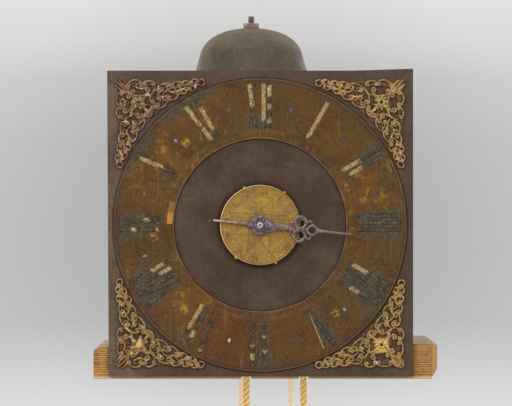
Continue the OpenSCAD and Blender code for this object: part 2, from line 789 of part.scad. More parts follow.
module hour_hand() {
    color([0.28, 0.24, 0.22]) difference() {
        slab(hand_front, hand_back) translate(hour_axis) rotate(90 - hand_angle) hand_shape();
        slab(hand_front - cut_over, hand_back + cut_over) translate(hour_axis)
            square(pipe_square + 2 * seat_gap, center = true);
    }
}

// Collet in front of the hand and the taper pin that holds it
module hand_pin() {
    collet_back = hand_front - 0.45;
    color([0.4, 0.36, 0.34]) {
        difference() {
            rod(hour_axis, collet_back - collet_t, collet_back, 9);
            rod(hour_axis, collet_back - collet_t - cut_over, collet_back + cut_over,
                stud_d + 2 * pivot_gap);
        }
        translate([hour_axis[0], hand_pin_y, hour_axis[1] - 5]) cylinder(d = hand_pin_d, h = 10);
    }
}

// Alarm disc on a pipe around the hour pipe, with four small pegs on its rim
peg_angles = [112.7, 292.7, 53.2, 233.2];
peg_d = 2.6;
cam_front = dial_back + 1.2;
cam_t = 3.2;
module alarm_disc() {
    color([0.66, 0.54, 0.24]) difference() {
        union() {
            rod(hour_axis, disc_front, disc_back, disc_d);
            rod(hour_axis, disc_back - 0.5, cam_front + cam_t + 1, 2 * alarm_pipe_r);
            for (a = peg_angles)
                rod(on_circle(hour_axis, disc_d / 2 + 0.4, a), disc_front - peg_h, disc_back, peg_d);
        }
        rod(hour_axis, disc_front - peg_h - cut_over, cam_front + cam_t + 2,
            2 * (hour_pipe_r + pivot_gap));
    }
}

// Notched cam pinned to the alarm disc's pipe behind the dial
cam_r = 10;
module alarm_cam() {
    color([0.6, 0.48, 0.22]) slab(cam_front, cam_front + cam_t) difference() {
        disc_at(hour_axis, cam_r);
        disc_at(hour_axis, alarm_pipe_r + seat_gap);
        disc_at(on_circle(hour_axis, cam_r + 1, heading(hour_axis, release_axis) + 20), 3);
    }
}

// Rope pulley with spikes in its groove and a ratchet on the side towards its wheel
great_arbor_d = 7;
flange_over = 2.5;
groove_gap = 0.5;
flange_t = 1.2;
function pulley_half(rope_d) = rope_d / 2 + 1.6 + flange_t;
module pulley(axis, y, rope_r, rope_d, ratchet_side, ratchet_end) {
    half = pulley_half(rope_d);
    inner = half - flange_t;
    groove = rope_r - rope_d / 2 - groove_gap - spike_h;
    flange = rope_r + flange_over;
    bore = great_arbor_d / 2 + pivot_gap;
    face = y + ratchet_side * half;
    difference() {
        union() {
            turned(axis, [[bore, y - half], [flange, y - half], [flange, y - inner],
                [groove, y - rope_d / 2 + 0.4], [groove, y + rope_d / 2 - 0.4], [flange, y + inner],
                [flange, y + half], [bore, y + half]]);
            slab(min(face, ratchet_end), max(face, ratchet_end)) translate(axis) difference() {
                toothed([[ratchet_r - 2, 0], [ratchet_r, 1]], ratchet_teeth, 0);
                circle(r = bore);
            }
            for (i = [0:11]) translate([axis[0], y, axis[1]]) rotate([0, i * 30, 0])
                translate([0, 0, groove - 0.3]) cylinder(h = spike_h + 0.3, d1 = 2, d2 = 0.8);
        }
        for (i = [0:5]) rod(on_circle(axis, 9, i * 60), y - 2 * half, y + 3 * half, 4);
    }
}

module going_pulley() {
    color([0.62, 0.5, 0.25]) pulley(going_axis, going_rope_y, going_rope_r, going_rope_d, 1,
        great_front - 0.3);
}

module strike_pulley() {
    color([0.62, 0.5, 0.25]) pulley(strike_axis, strike_rope_y, strike_rope_r, strike_rope_d, -1,
        strike_great_front + great_t + 0.3);
}

// Click on its stud, resting just clear of the ratchet
click_stud_d = 3;
click_angle = 45;
function click_place(axis) = on_circle(axis, click_pivot_r, click_angle);
module click(axis, y0) {
    tip = on_circle(axis, ratchet_r + 1.3, click_angle + click_sweep);
    slab(y0, y0 + click_t) difference() {
        union() {
            disc_at(click_place(axis), 3.4);
            taper_arm(click_place(axis), tip, 5, 1.6);
        }
        disc_at(click_place(axis), click_stud_d / 2 + pivot_gap);
    }
}

module going_click() {
    color("slategray") click(going_axis, great_front - 0.3 - click_t);
}

module strike_click() {
    color("slategray") click(strike_axis, strike_great_front + great_t + 0.3);
}

// Going great wheel, its arbor with the pinion of report in front, and the click's stud
module going_great_wheel() {
    color([0.62, 0.5, 0.25]) {
        slab(great_front, great_front + great_t) translate(going_axis)
            spoked_wheel(great_teeth, great_leaves, great_module, heading(going_axis, second_axis), 5, 10, 7);
        rod(going_axis, front_bar_back + shoulder_gap, middle_bar_front - shoulder_gap, great_arbor_d);
        rod(going_axis, report_back, front_bar_back + 2, journal_d);
        rod(going_axis, middle_bar_front - 2, middle_bar_front + pivot_reach * bar_t, pivot_d);
        slab(report_front, report_back) translate(going_axis)
            pinion(report_leaves, hour_module, heading(going_axis, hour_axis));
        rod(going_axis, going_rope_y - pulley_half(going_rope_d) - 2,
            going_rope_y - pulley_half(going_rope_d) - 0.3, great_arbor_d + 4);
        rod(click_place(going_axis), great_front - 0.6 - click_t, great_front + great_t, click_stud_d);
    }
}

module second_wheel() {
    leaf0 = great_front - 3;
    leaf1 = great_front + great_t + 3;
    color([0.62, 0.5, 0.25]) {
        arbor(second_axis, front_bar_back, middle_bar_front, leaf0, leaf1);
        slab(leaf0, leaf1) translate(second_axis)
            pinion(great_leaves, great_module, heading(second_axis, going_axis));
        slab(second_wheel_y, second_wheel_y + wheel_t) translate(second_axis)
            spoked_wheel(second_teeth, second_leaves, upper_module, heading(second_axis, escape_axis), 4, 6);
    }
}

// Escape wheel with pointed, raked teeth
escape_root = 3.4;
module escape_wheel() {
    leaf0 = second_wheel_y - 3;
    leaf1 = second_wheel_y + wheel_t + 3;
    inner = escape_r - escape_root - 2.4;
    color([0.62, 0.5, 0.25]) {
        arbor(escape_axis, front_bar_back, middle_bar_front, leaf0, leaf1);
        slab(leaf0, leaf1) translate(escape_axis)
            pinion(second_leaves, upper_module, heading(escape_axis, second_axis));
        slab(escape_wheel_y, escape_wheel_y + wheel_t) translate(escape_axis) {
            difference() {
                toothed([[escape_r, 0], [escape_r, 0.8], [escape_r - escape_root, 4],
                    [escape_r - escape_root, 9.5]], escape_teeth, 0);
                circle(r = inner);
            }
            circle(r = 5);
            for (i = [0:3]) rotate(i * 90) translate([0, -1.5]) square([inner + 1, 3]);
        }
    }
}

// Anchor with two pallets held just clear of the escape wheel's teeth
pallet_swing = 2.5;
pallet_gap = 0.35;
pallet_arbor_d = 4;
module pallets() {
    clear_r = escape_r + escape_r * sin(pallet_swing) + pallet_gap;
    color("slategray") slab(escape_wheel_y - 1.5, escape_wheel_y + wheel_t + 1.5) difference() {
        union() {
            disc_at(pallet_axis, 5.5);
            for (side = [-1, 1]) {
                shoulder = pallet_axis + [side * (escape_r - 2), -escape_r * 0.52];
                tip = on_circle(escape_axis, clear_r, 90 - side * 45);
                polygon([pallet_axis + [side * 1, 4], shoulder + [side * 2.4, 1.6],
                    shoulder + [side * 2.2, -1.6], tip, shoulder + [-side * 2.6, 0.4],
                    pallet_axis + [side * 1, -4]]);
            }
        }
        disc_at(pallet_axis, pallet_arbor_d / 2 + seat_gap);
    }
}

// Pallet arbor, reaching back through both bars to the cock, with the crutch behind
crutch_len = 62;
crutch_w = 3;
fork_gap = 5;
module pallet_arbor() {
    fork_z = pallet_axis[1] - crutch_len;
    color("slategray") {
        rod(pallet_axis, front_bar_back + shoulder_gap, cock_y - shoulder_gap, pallet_arbor_d);
        rod(pallet_axis, front_bar_back - pivot_reach * bar_t, front_bar_back + 2, pivot_d);
        rod(pallet_axis, cock_y - 2, cock_y + cock_t * pivot_reach, pivot_d);
        slab(crutch_y, crutch_y + 2) {
            disc_at(pallet_axis, 4.5);
            arm(pallet_axis, [pallet_axis[0], fork_z], crutch_w);
            translate([pallet_axis[0] - fork_gap / 2 - 1.6, fork_z - 1.5]) square([fork_gap + 3.2, 3]);
        }
        for (side = [-1, 1])
            translate([pallet_axis[0] + side * (fork_gap / 2 + 0.8) - 0.8, crutch_y, fork_z - 1.5])
                cube([1.6, 16, 3]);
    }
}

// Cock on the top plate: it carries the pallet arbor's back pivot and the pendulum's suspension slit
cock_t = 3.5;
cock_rivet_x = [-14, 22];
cock_rivet_y = post_y;
cock_rivet_d = 5;
cock_back = cock_y + 12;
slit_w = 0.8;
module back_cock() {
    x = pallet_axis[0];
    front = post_y - 5;
    block_y = cock_back - 6;
    color("dimgray") difference() {
        union() {
            translate([0, 0, roof_z]) linear_extrude(cock_t) polygon([[x - 24, front], [x - 11, front],
                [x - 11, front + 15], [x + 11, front + 15], [x + 11, front], [x + 24, front],
                [x + 24, front + 15], [x + 8, block_y], [x + 8, cock_back], [x - 8, cock_back],
                [x - 8, block_y], [x - 24, front + 15]]);
            slab(cock_y, cock_y + cock_t) translate([x - 6, pallet_axis[1] - 6])
                square([12, roof_z + 1 - pallet_axis[1] + 6]);
            translate([x - 8, block_y, roof_z]) cube([16, cock_back - block_y, 10]);
            for (rx = cock_rivet_x) translate([rx, cock_rivet_y, ceiling_z])
                cylinder(d = cock_rivet_d, h = plate_t + cock_t + 1);
        }
        slab(cock_y - cut_over, cock_y + cock_t + cut_over) disc_at(pallet_axis, pivot_d / 2 + pivot_gap);
        translate([x - slit_w / 2, block_y - cut_over, roof_z - cut_over])
            cube([slit_w, cock_back - block_y + 2 * cut_over, 10 + 2 * cut_over]);
    }
}

// Strike great wheel with eight hammer pins, and the pinion that drives the count wheel
hammer_pins = 8;
hammer_pin_r = 22;
hammer_pin_d = 3;
module strike_great_wheel() {
    collar_y = strike_rope_y + pulley_half(strike_rope_d);
    color([0.62, 0.5, 0.25]) {
        slab(strike_great_front, strike_great_front + great_t) translate(strike_axis)
            spoked_wheel(great_teeth, great_leaves, great_module, heading(strike_axis, hoop_axis), 9, 10, 7);
        rod(strike_axis, middle_bar_back + shoulder_gap, back_bar_front - shoulder_gap, great_arbor_d);
        rod(strike_axis, middle_bar_back - pivot_reach * bar_t, middle_bar_back + 2, pivot_d);
        rod(strike_axis, back_bar_front - 2, count_front - 1.5, journal_d);
        slab(count_front - 1.5, count_back + 0.5) translate(strike_axis)
            pinion(count_leaves, count_module, heading(strike_axis, count_axis));
        rod(strike_axis, collar_y + 0.3, collar_y + 2, great_arbor_d + 4);
        for (i = [0:hammer_pins - 1])
            rod(on_circle(strike_axis, hammer_pin_r, i * 360 / hammer_pins), strike_great_front - 5.5,
                strike_great_front + 1, hammer_pin_d);
        rod(click_place(strike_axis), strike_great_front, strike_great_front + great_t + 0.6 + click_t,
            click_stud_d);
    }
}

// Hoop wheel: its hoop has one gap, where the locking arm drops in
hoop_r = 14.8;
hoop_wall = 1.6;
hoop_notch = 6;
hoop_tip = on_circle(hoop_axis, hoop_r + 2.1, 178);
module hoop_wheel() {
    leaf0 = strike_great_front - 3;
    leaf1 = strike_great_front + great_t + 3;
    color([0.62, 0.5, 0.25]) {
        arbor(hoop_axis, middle_bar_back, back_bar_front, leaf0, leaf1);
        slab(leaf0, leaf1) translate(hoop_axis)
            pinion(great_leaves, great_module, heading(hoop_axis, strike_axis));
        slab(hoop_wheel_y, hoop_wheel_y + wheel_t) translate(hoop_axis)
            spoked_wheel(hoop_teeth, hoop_leaves, upper_module, heading(hoop_axis, warning_axis), 4, 6);
        slab(hoop_wheel_y, hoop_wheel_y + hoop_depth) translate(hoop_axis) difference() {
            circle(r = hoop_r);
            circle(r = hoop_r - hoop_wall);
            rotate(178) translate([0, -hoop_notch / 2]) square([2 * hoop_r, hoop_notch]);
        }
    }
}

// Warning wheel with its single pin
warning_pin_r = 14;
warning_pin_d = 1.6;
module warning_wheel() {
    leaf0 = hoop_wheel_y - 3;
    leaf1 = hoop_wheel_y + wheel_t + 3;
    color([0.62, 0.5, 0.25]) {
        arbor(warning_axis, middle_bar_back, back_bar_front, leaf0, leaf1);
        slab(leaf0, leaf1) translate(warning_axis)
            pinion(hoop_leaves, upper_module, heading(warning_axis, hoop_axis));
        slab(warning_wheel_y, warning_wheel_y + wheel_t) translate(warning_axis)
            spoked_wheel(warning_teeth, warning_leaves, warning_module, heading(warning_axis, fly_axis), 5, 6);
        rod(on_circle(warning_axis, warning_pin_r, 135), warning_wheel_y - 3.5, warning_wheel_y + 1,
            warning_pin_d);
    }
}

module fly_arbor() {
    leaf0 = warning_wheel_y - 2.5;
    leaf1 = warning_wheel_y + wheel_t + 2;
    color("slategray") {
        arbor(fly_axis, middle_bar_back, back_bar_front, leaf0, leaf1);
        slab(leaf0, leaf1) translate(fly_axis)
            pinion(warning_leaves, warning_module, heading(fly_axis, warning_axis));
    }
}

// Two-winged air brake, held on its arbor by friction
fly_t = 1.2;
fly_tilt = 25;
module fly() {
    color([0.6, 0.48, 0.22]) slab(fly_front, fly_back) translate(fly_axis) difference() {
        union() {
            rotate(fly_tilt) square([2 * fly_half, fly_t], center = true);
            circle(r = arbor_d / 2 + 1.4);
        }
        circle(r = arbor_d / 2 + seat_gap);
    }
}

// Count wheel: a toothed wheel behind a disc with a slot after each hour's blows
count_disc_r = 27.5;
count_disc_t = 1.8;
count_slot_w = 2.4;
count_slot_h = 3.5;
count_back = count_front + count_t + count_disc_t;
module count_wheel() {
    color([0.62, 0.5, 0.25]) difference() {
        union() {
            slab(count_front, count_front + count_t) translate(count_axis)
                spoked_wheel(count_teeth, count_leaves, count_module, heading(count_axis, strike_axis), 6, 8);
            slab(count_front + count_t - 0.2, count_back) translate(count_axis) difference() {
                circle(r = count_disc_r);
                for (k = [1:12]) rotate(100 + 180 * k * (k + 1) / count_teeth)
                    translate([count_disc_r - count_slot_h, -count_slot_w / 2])
                        square([2 * count_slot_h, count_slot_w]);
            }
        }
        rod(count_axis, count_front - cut_over, count_back + cut_over, count_stud_d + 2 * pivot_gap);
    }
}

// Hammer: an arbor, a shaft up into the bell, a tail by the great wheel's pins and a stub at the spring
hammer_top = [-44.4, mouth_z + 6.5];
hammer_shaft_d = 4.6;
hammer_face_x = -48.6;
hammer_head_d = 10;
stub_len = 12;
module hammer() {
    tilt = 90 - heading(hammer_axis, hammer_top);
    reach = norm(hammer_top - hammer_axis);
    tail_tip = on_circle(strike_axis, hammer_pin_r + hammer_pin_d / 2 + 2, 176);
    color("slategray") {
        arbor(hammer_axis, middle_bar_back, back_bar_front, hammer_y, hammer_y);
        slab(hammer_y - 4, hammer_y + 4) disc_at(hammer_axis, 5);
        translate([hammer_axis[0], hammer_y, hammer_axis[1]]) rotate([0, tilt, 0])
            translate([0, 0, -stub_len]) cylinder(d = hammer_shaft_d, h = reach + stub_len);
        translate([hammer_face_x, hammer_y, hammer_top[1]]) rotate([0, 90, 0]) {
            cylinder(d1 = 6, d2 = hammer_head_d, h = 2);
            translate([0, 0, 2]) cylinder(d = hammer_head_d, h = 9);
        }
        slab(strike_great_front - 4.5, strike_great_front - 1.5) {
            disc_at(hammer_axis, 4.5);
            taper_arm(hammer_axis, tail_tip, 5, 2.4);
        }
    }
}

// Flat spring riveted to the bottom plate, standing beside the hammer's stub
spring_t = 1.2;
spring_w = 7;
spring_foot_x = -46;
spring_rivet_d = 4;
spring_top = [hammer_axis[0] - 4.4, hammer_axis[1] - 9];
module hammer_spring() {
    color("slategray") {
        translate([spring_foot_x - 5, hammer_y - spring_w / 2, floor_z]) cube([11, spring_w, 2]);
        translate([spring_foot_x, hammer_y, plate_z]) cylinder(d = spring_rivet_d, h = plate_t + 3);
        slab(hammer_y - spring_w / 2, hammer_y + spring_w / 2)
            taper_arm([spring_foot_x + 5.4, floor_z + 0.5], spring_top, spring_t, spring_t);
    }
}

// Lifting piece: a front arm beside the hour wheel's pins, a tail under the locking detent, a warning arm
module lifting_piece() {
    front_y = hour_wheel_front + hour_wheel_t + 0.8;
    tip = on_circle(hour_axis, lift_pin_r + lift_pin_d / 2 + 2, 165);
    warn = on_circle(warning_axis, warning_pin_r + warning_pin_d / 2 + 2.2, 200);
    warn_y = warning_wheel_y - 4.5;
    color("slategray") {
        rod(lifting_axis, front_y, middle_bar_back + shoulder_gap, journal_d);
        rod(lifting_axis, front_bar_back + shoulder_gap, middle_bar_front - shoulder_gap, arbor_d);
        rod(lifting_axis, middle_bar_back + shoulder_gap, back_bar_front - shoulder_gap, arbor_d);
        rod(lifting_axis, back_bar_front - 2, back_bar_front + pivot_reach * bar_t, pivot_d);
        slab(front_y, front_y + 2) {
            disc_at(lifting_axis, 4);
            taper_arm(lifting_axis, tip, 4, 2.6);
        }
        slab(middle_bar_front - 8, middle_bar_front - 6) taper_arm(lifting_axis,
            lifting_axis + [5, 9], 4, 3);
        slab(warn_y, warn_y + 2) {
            disc_at(lifting_axis, 4);
            taper_arm(lifting_axis, warn, 4, 2.4);
        }
    }
}

// Locking detent: an arm to the hoop, a blade over the count wheel and a tail over the lifting piece
module locking_detent() {
    hoop_arm_y = hoop_wheel_y + 4;
    blade_y = count_front + count_t + 0.4;
    knee = locking_axis + [10, 11];
    blade_top = on_circle(count_axis, count_disc_r + 5.2, 100);
    blade_tip = on_circle(count_axis, count_disc_r + 0.6, 100);
    color("slategray") {
        rod(locking_axis, middle_bar_front - 10, blade_y, journal_d);
        rod(locking_axis, middle_bar_back + shoulder_gap, back_bar_front - shoulder_gap, arbor_d);
        slab(hoop_arm_y, hoop_arm_y + 2.4) {
            disc_at(locking_axis, 4);
            taper_arm(locking_axis, hoop_tip, 4, 2);
        }
        slab(blade_y, blade_y + 1.3) {
            disc_at(locking_axis, 4);
            arm(locking_axis, knee, 3);
            disc_at(knee, 1.5);
            arm(knee, blade_top, 3);
            arm(blade_top, blade_tip, 2);
            disc_at(blade_top, 1.5);
        }
        slab(middle_bar_front - 10, middle_bar_front - 5) {
            disc_at(locking_axis, 3.4);
            taper_arm(locking_axis, locking_axis + [13, -2.5], 3.4, 2.4);
        }
    }
}

// Bell profile: a rounded dome that runs into a flared skirt
bell_steps = 16;
function bell_radius(depth, r, dome) =
    let (u = max(0, 1 - depth / dome)) r * pow(1 - pow(u, dome_power), 1 / dome_power) + skirt_flare * depth;
function bell_depth(i) = bell_h * pow(i / bell_steps, 1.8);
bell_bore_r = bell_stud_d / 2 + seat_gap;
module bell() {
    outer = [for (i = [1:bell_steps]) [bell_radius(bell_depth(i), bell_r, dome_h), crown_z - bell_depth(i)]];
    inner = [for (i = [bell_steps:-1:1]) let (d = bell_depth(i) * (bell_h - bell_t) / bell_h)
        [bell_radius(d, bell_r - bell_t, dome_h - bell_t), crown_z - bell_t - d]];
    color([0.38, 0.35, 0.26]) translate([bell_x, 0, 0]) rotate_extrude($fn = 128)
        polygon(concat([[bell_bore_r, crown_z]], outer, inner,
            [[stand_d / 2 + 0.6, crown_z - bell_t], [bell_bore_r, crown_z - bell_t]]));
}

// Iron stand riveted in the top plate, shouldered under the bell's crown and threaded above it
stand_tenon_d = 8;
stand_d = 9;
module bell_stand() {
    stud_top = crown_z + 10.2;
    color("dimgray") translate([bell_x, 0, 0]) {
        translate([0, 0, ceiling_z]) cylinder(d = stand_tenon_d, h = plate_t + 1);
        translate([0, 0, roof_z]) cylinder(d = stand_d + 3, h = 4);
        translate([0, 0, roof_z]) cylinder(d = stand_d, h = crown_z - bell_t - 0.05 - roof_z);
        translate([0, 0, roof_z]) cylinder(d = bell_stud_d, h = stud_top - roof_z);
    }
}

module bell_nut() {
    color([0.4, 0.33, 0.3]) translate([bell_x, 0, crown_z + 0.05]) difference() {
        translate([-bell_nut_w / 2, -bell_nut_w / 2, 0]) cube([bell_nut_w, bell_nut_w, bell_nut_h]);
        translate([0, 0, -cut_over])
            cylinder(r = bell_bore_r, h = bell_nut_h + 2 * cut_over);
    }
}

// Alarm bracket behind the left back post: two lugs for the verge and a stud for the crown wheel
lug_w = 7;
lug_t = 3;
lug_low = crown_wheel_z - 20;
lug_high = crown_wheel_z + 16;
crown_axis = [verge_x, crown_wheel_z];
crown_front = bracket_y + bracket_t + 1;
crown_web = crown_front + 5.5;
crown_tip = verge_y - 4.8;
crown_stud_d = 5;
verge_d = 4;
module alarm_bracket() {
    color([0.6, 0.48, 0.24]) {
        slab(bracket_y, bracket_y + bracket_t) translate([-post_x - 5, lug_low])
            square([verge_x + lug_w / 2 + 4 + post_x + 5, lug_high + lug_t - lug_low]);
        difference() {
            for (z = [lug_low, lug_high]) translate([verge_x - lug_w / 2, bracket_y, z])
                cube([lug_w, verge_y + lug_w / 2 - bracket_y, lug_t]);
            translate([verge_x, verge_y, lug_low - cut_over])
                cylinder(d = pivot_d + 2 * pivot_gap, h = lug_t + 2 * cut_over);
            translate([verge_x, verge_y, lug_high - cut_over])
                cylinder(d = verge_d + 2 * pivot_gap, h = lug_t + 2 * cut_over);
        }
        rod(crown_axis, bracket_y, crown_web + 3, crown_stud_d);
        rod(crown_axis, crown_web + 1.9, crown_web + 3, crown_stud_d + 3);
        for (z = bracket_stud_z) rod([-post_x, z], post_y - post_side / 2, bracket_y + 1, bracket_stud_d);
    }
}

// Alarm crown wheel with fifteen saw teeth on its back edge and a rope pulley in front
crown_teeth = 15;
crown_rim = 1.3;
alarm_groove_r = 7;
module alarm_crown_wheel() {
    bore = crown_stud_d / 2 + pivot_gap;
    color([0.62, 0.5, 0.25]) difference() {
        turned(crown_axis, [[bore, crown_front], [crown_wheel_r, crown_front],
            [alarm_groove_r, crown_front + 2.2], [alarm_groove_r, crown_front + 2.8],
            [crown_wheel_r, crown_web - 0.5], [crown_wheel_r, crown_tip],
            [crown_wheel_r - crown_rim, crown_tip], [crown_wheel_r - crown_rim, crown_web + 1.6],
            [bore, crown_web + 1.6]]);
        for (i = [0:crown_teeth - 1]) translate([crown_axis[0], crown_tip, crown_axis[1]])
            rotate([0, i * 360 / crown_teeth, 0]) rotate([0, 0, 45])
                translate([-1.4, -1.4, crown_wheel_r - 2 * crown_rim]) cube([2.8, 2.8, 3 * crown_rim]);
    }
}

// Alarm verge: two pallets by the crown wheel, a stop pin and the small hammer behind the bell
flag_len = 4.2;
flag_h = 5;
alarm_head_d = 8;
alarm_hammer_z = mouth_z + 3.5;
module alarm_verge() {
    arm_y = verge_y - verge_arm;
    color("slategray") {
        translate([verge_x, verge_y, lug_low + lug_t + 0.5])
            cylinder(d = verge_d, h = alarm_hammer_z + 4 - lug_low - lug_t - 0.5);
        translate([verge_x, verge_y, lug_low + 0.4]) cylinder(d = pivot_d, h = lug_t + 1);
        for (side = [-1, 1]) translate([verge_x, verge_y, crown_wheel_z + side * crown_wheel_r - flag_h / 2])
            rotate([0, 0, side * 45]) translate([-0.6, -flag_len, 0]) cube([1.2, flag_len, flag_h]);
        translate([verge_x, verge_y, lug_low + lug_t + stop_pin_up]) rotate([0, -90, 0])
            cylinder(d = stop_pin_d, h = stop_pin_len);
        translate([verge_x - 1.5, arm_y, alarm_hammer_z - 1.5]) cube([3, verge_arm, 3]);
        translate([verge_x - 5, arm_y, alarm_hammer_z]) rotate([0, 90, 0])
            cylinder(d = alarm_head_d, h = 10);
    }
}
stop_pin_up = 4.6;
stop_pin_d = 2;
stop_pin_len = 5.4;

// Alarm release: an arm beside the cam in front, and a finger behind the verge's stop pin behind
module alarm_release() {
    arm_y = cam_front + 0.4;
    tip = on_circle(hour_axis, cam_r + 2, heading(hour_axis, release_axis));
    finger_y = verge_y + stop_pin_d / 2 + 1;
    finger_top = lug_low + lug_t + stop_pin_up + 1.5;
    color("slategray") {
        rod(release_axis, arm_y, finger_y + 2.4, journal_d);
        rod(release_axis, front_bar_back + shoulder_gap, back_bar_front - shoulder_gap, arbor_d);
        slab(arm_y, arm_y + 2) {
            disc_at(release_axis, 4);
            taper_arm(release_axis, tip, 5, 2.6);
        }
        slab(finger_y, finger_y + 2.4) {
            disc_at(release_axis, 3);
            arm(release_axis, [release_axis[0], finger_top], 2);
        }
    }
}

// A rope swept along its route, which stays in one plane of constant depth
module rope(route, d, shade) {
    last = len(route) - 1;
    function end_way(a, b) = [0, 0, sign(b[2] - a[2])];
    function along(i) = i == 0 ? end_way(route[0], route[1])
        : i == last ? end_way(route[last - 1], route[last]) : route[i + 1] - route[i - 1];
    function across(i) = let (t = along(i) / norm(along(i))) [-t[2], 0, t[0]];
    points = [for (i = [0:last]) for (k = [0:rope_sides - 1]) let (a = k * 360 / rope_sides)
        route[i] + d / 2 * (cos(a) * across(i) + [0, sin(a), 0])];
    walls = [for (i = [0:last - 1]) for (k = [0:rope_sides - 1])
        let (a = i * rope_sides + k, b = i * rope_sides + (k + 1) % rope_sides)
        [a, b, b + rope_sides, a + rope_sides]];
    caps = [[for (k = [rope_sides - 1:-1:0]) k], [for (k = [0:rope_sides - 1]) last * rope_sides + k]];
    color(shade) polyhedron(points, concat(walls, caps));
}
tan_rope = [0.78, 0.62, 0.4];
white_rope = [0.92, 0.88, 0.76];
going_wrap_route = [[-11.5, -45, 88.6], [-10.7, -45, 94.7], [-8.4, -45, 100.4], [-4.6, -45, 105.2],
    [0.2, -45, 109], [5.9, -45, 111.3], [12, -45, 112.1], [18.1, -45, 111.3], [23.8, -45, 109],
    [28.6, -45, 105.2], [32.4, -45, 100.4], [34.7, -45, 94.7], [35.5, -45, 88.6]];
strike_wrap_route = [[-16.7, 45, 88.6], [-16, 45, 94.2], [-13.8, 45, 99.5], [-10.3, 45, 103.9],
    [-5.8, 45, 107.4], [-0.6, 45, 109.6], [5, 45, 110.3], [10.6, 45, 109.6], [15.8, 45, 107.4],
    [20.3, 45, 103.9], [23.8, 45, 99.5], [26, 45, 94.2], [26.7, 45, 88.6]];
module going_rope_wrap() { rope(going_wrap_route, going_rope_d, tan_rope); }
module going_rope_left() { rope(going_left_route, going_rope_d, tan_rope); }
module going_rope_right() { rope(going_right_route, going_rope_d, tan_rope); }
module strike_rope_wrap() { rope(strike_wrap_route, strike_rope_d, white_rope); }
module strike_rope_left() { rope(strike_left_route, strike_rope_d, white_rope); }
module strike_rope_right() { rope(strike_right_route, strike_rope_d, white_rope); }

// Iron hooks for the weights, each with a socket on its rope's end
hook_r = 6;
hook_wire = 3;
module rope_hook(end, d) {
    color("slategray") translate(end) {
        translate([0, 0, -10]) cylinder(d = d + 3, h = 10);
        translate([0, 0, -14]) cylinder(d = hook_wire, h = 6);
        translate([0, 0, -14 - hook_r]) rotate([90, 0, 0]) rotate([0, 0, -180])
            rotate_extrude(angle = 270) translate([hook_r, 0]) circle(d = hook_wire, $fn = 24);
    }
}
module rope_hooks() {
    rope_hook(going_left_route[len(going_left_route) - 1], going_rope_d);
    rope_hook(strike_left_route[len(strike_left_route) - 1], strike_rope_d);
}

// Knots that end the ropes' light sides
module rope_knot(end, d, shade) {
    color(shade) translate([end[0], end[1], end[2] - 2.2 * d]) rotate_extrude()
        polygon([[0, 0], [0.45 * d, 0], [0.45 * d, 0.5 * d], [0.75 * d, 0.7 * d], [0.95 * d, 1.1 * d],
            [0.95 * d, 1.5 * d], [0.75 * d, 1.9 * d], [0.5 * d, 2.2 * d], [0, 2.2 * d]]);
}
module rope_knots() {
    rope_knot(going_right_route[len(going_right_route) - 1], going_rope_d, tan_rope);
    rope_knot(strike_right_route[len(strike_right_route) - 1], strike_rope_d, white_rope);
}

seatboard();
seatboard_bolts();
bottom_plate();
top_plate();
corner_posts();
post_nuts();
front_bar();
middle_bar();
back_bar();
bar_wedges();
dial_plate();
chapter_ring();
spandrel_top_left();
spandrel_top_right();
spandrel_bottom_left();
spandrel_bottom_right();
spandrel_screws();
dial_feet();
dial_pins();
hour_stud();
hour_wheel();
hour_hand();
hand_pin();
alarm_disc();
alarm_cam();
going_great_wheel();
going_pulley();
going_click();
second_wheel();
escape_wheel();
pallets();
pallet_arbor();
back_cock();
strike_great_wheel();
strike_pulley();
strike_click();
hoop_wheel();
warning_wheel();
fly_arbor();
fly();
count_wheel();
hammer();
hammer_spring();
lifting_piece();
locking_detent();
bell();
bell_stand();
bell_nut();
alarm_bracket();
alarm_crown_wheel();
alarm_verge();
alarm_release();
going_rope_wrap();
going_rope_left();
going_rope_right();
strike_rope_wrap();
strike_rope_left();
strike_rope_right();
rope_hooks();
rope_knots();
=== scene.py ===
"""Looks of a posted-frame clock movement: tarnished square dial, bell, ropes and iron frame. Metres."""
import json
import math
import bmesh
import bpy
import numpy as np
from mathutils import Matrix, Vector
from numpy import clip, cos, pi, sin


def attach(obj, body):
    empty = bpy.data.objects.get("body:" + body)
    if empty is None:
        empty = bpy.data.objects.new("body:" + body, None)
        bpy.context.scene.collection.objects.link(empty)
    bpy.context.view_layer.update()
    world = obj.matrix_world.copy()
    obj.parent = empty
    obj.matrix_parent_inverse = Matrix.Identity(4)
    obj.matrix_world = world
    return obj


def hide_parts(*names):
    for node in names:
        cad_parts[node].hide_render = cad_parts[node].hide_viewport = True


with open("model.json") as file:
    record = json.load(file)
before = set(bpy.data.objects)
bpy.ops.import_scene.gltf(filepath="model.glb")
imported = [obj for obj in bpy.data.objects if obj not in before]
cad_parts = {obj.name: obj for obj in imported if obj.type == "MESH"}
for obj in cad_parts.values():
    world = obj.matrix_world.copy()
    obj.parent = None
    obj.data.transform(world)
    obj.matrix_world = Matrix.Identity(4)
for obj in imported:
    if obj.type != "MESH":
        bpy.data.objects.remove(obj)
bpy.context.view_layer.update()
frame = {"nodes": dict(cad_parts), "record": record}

NODES = frame["nodes"]
SCENE = bpy.context.scene
MM = 0.001
TURN = 2 * pi

# Places and sizes that the part's source gives, in millimetres
DIAL_FRONT, RING_FRONT, DISC_FRONT, HAND_BACK, STUD_FRONT = -86.0, -87.6, -90.0, -91.7, -97.3
DIAL_MID_Z, DIAL_HALF = 129.0, 127.0
RING_OUT, RING_IN, RING_MIDDLE, DISC_R = 121.5, 71.8, 99.0, 33.2
HOUR = (0.0, 127.8)
HAND_TURN = math.radians(90 - 95.8)
BELL_X, CROWN_Z, STUD_R = -7.5, 296.0, 2.52
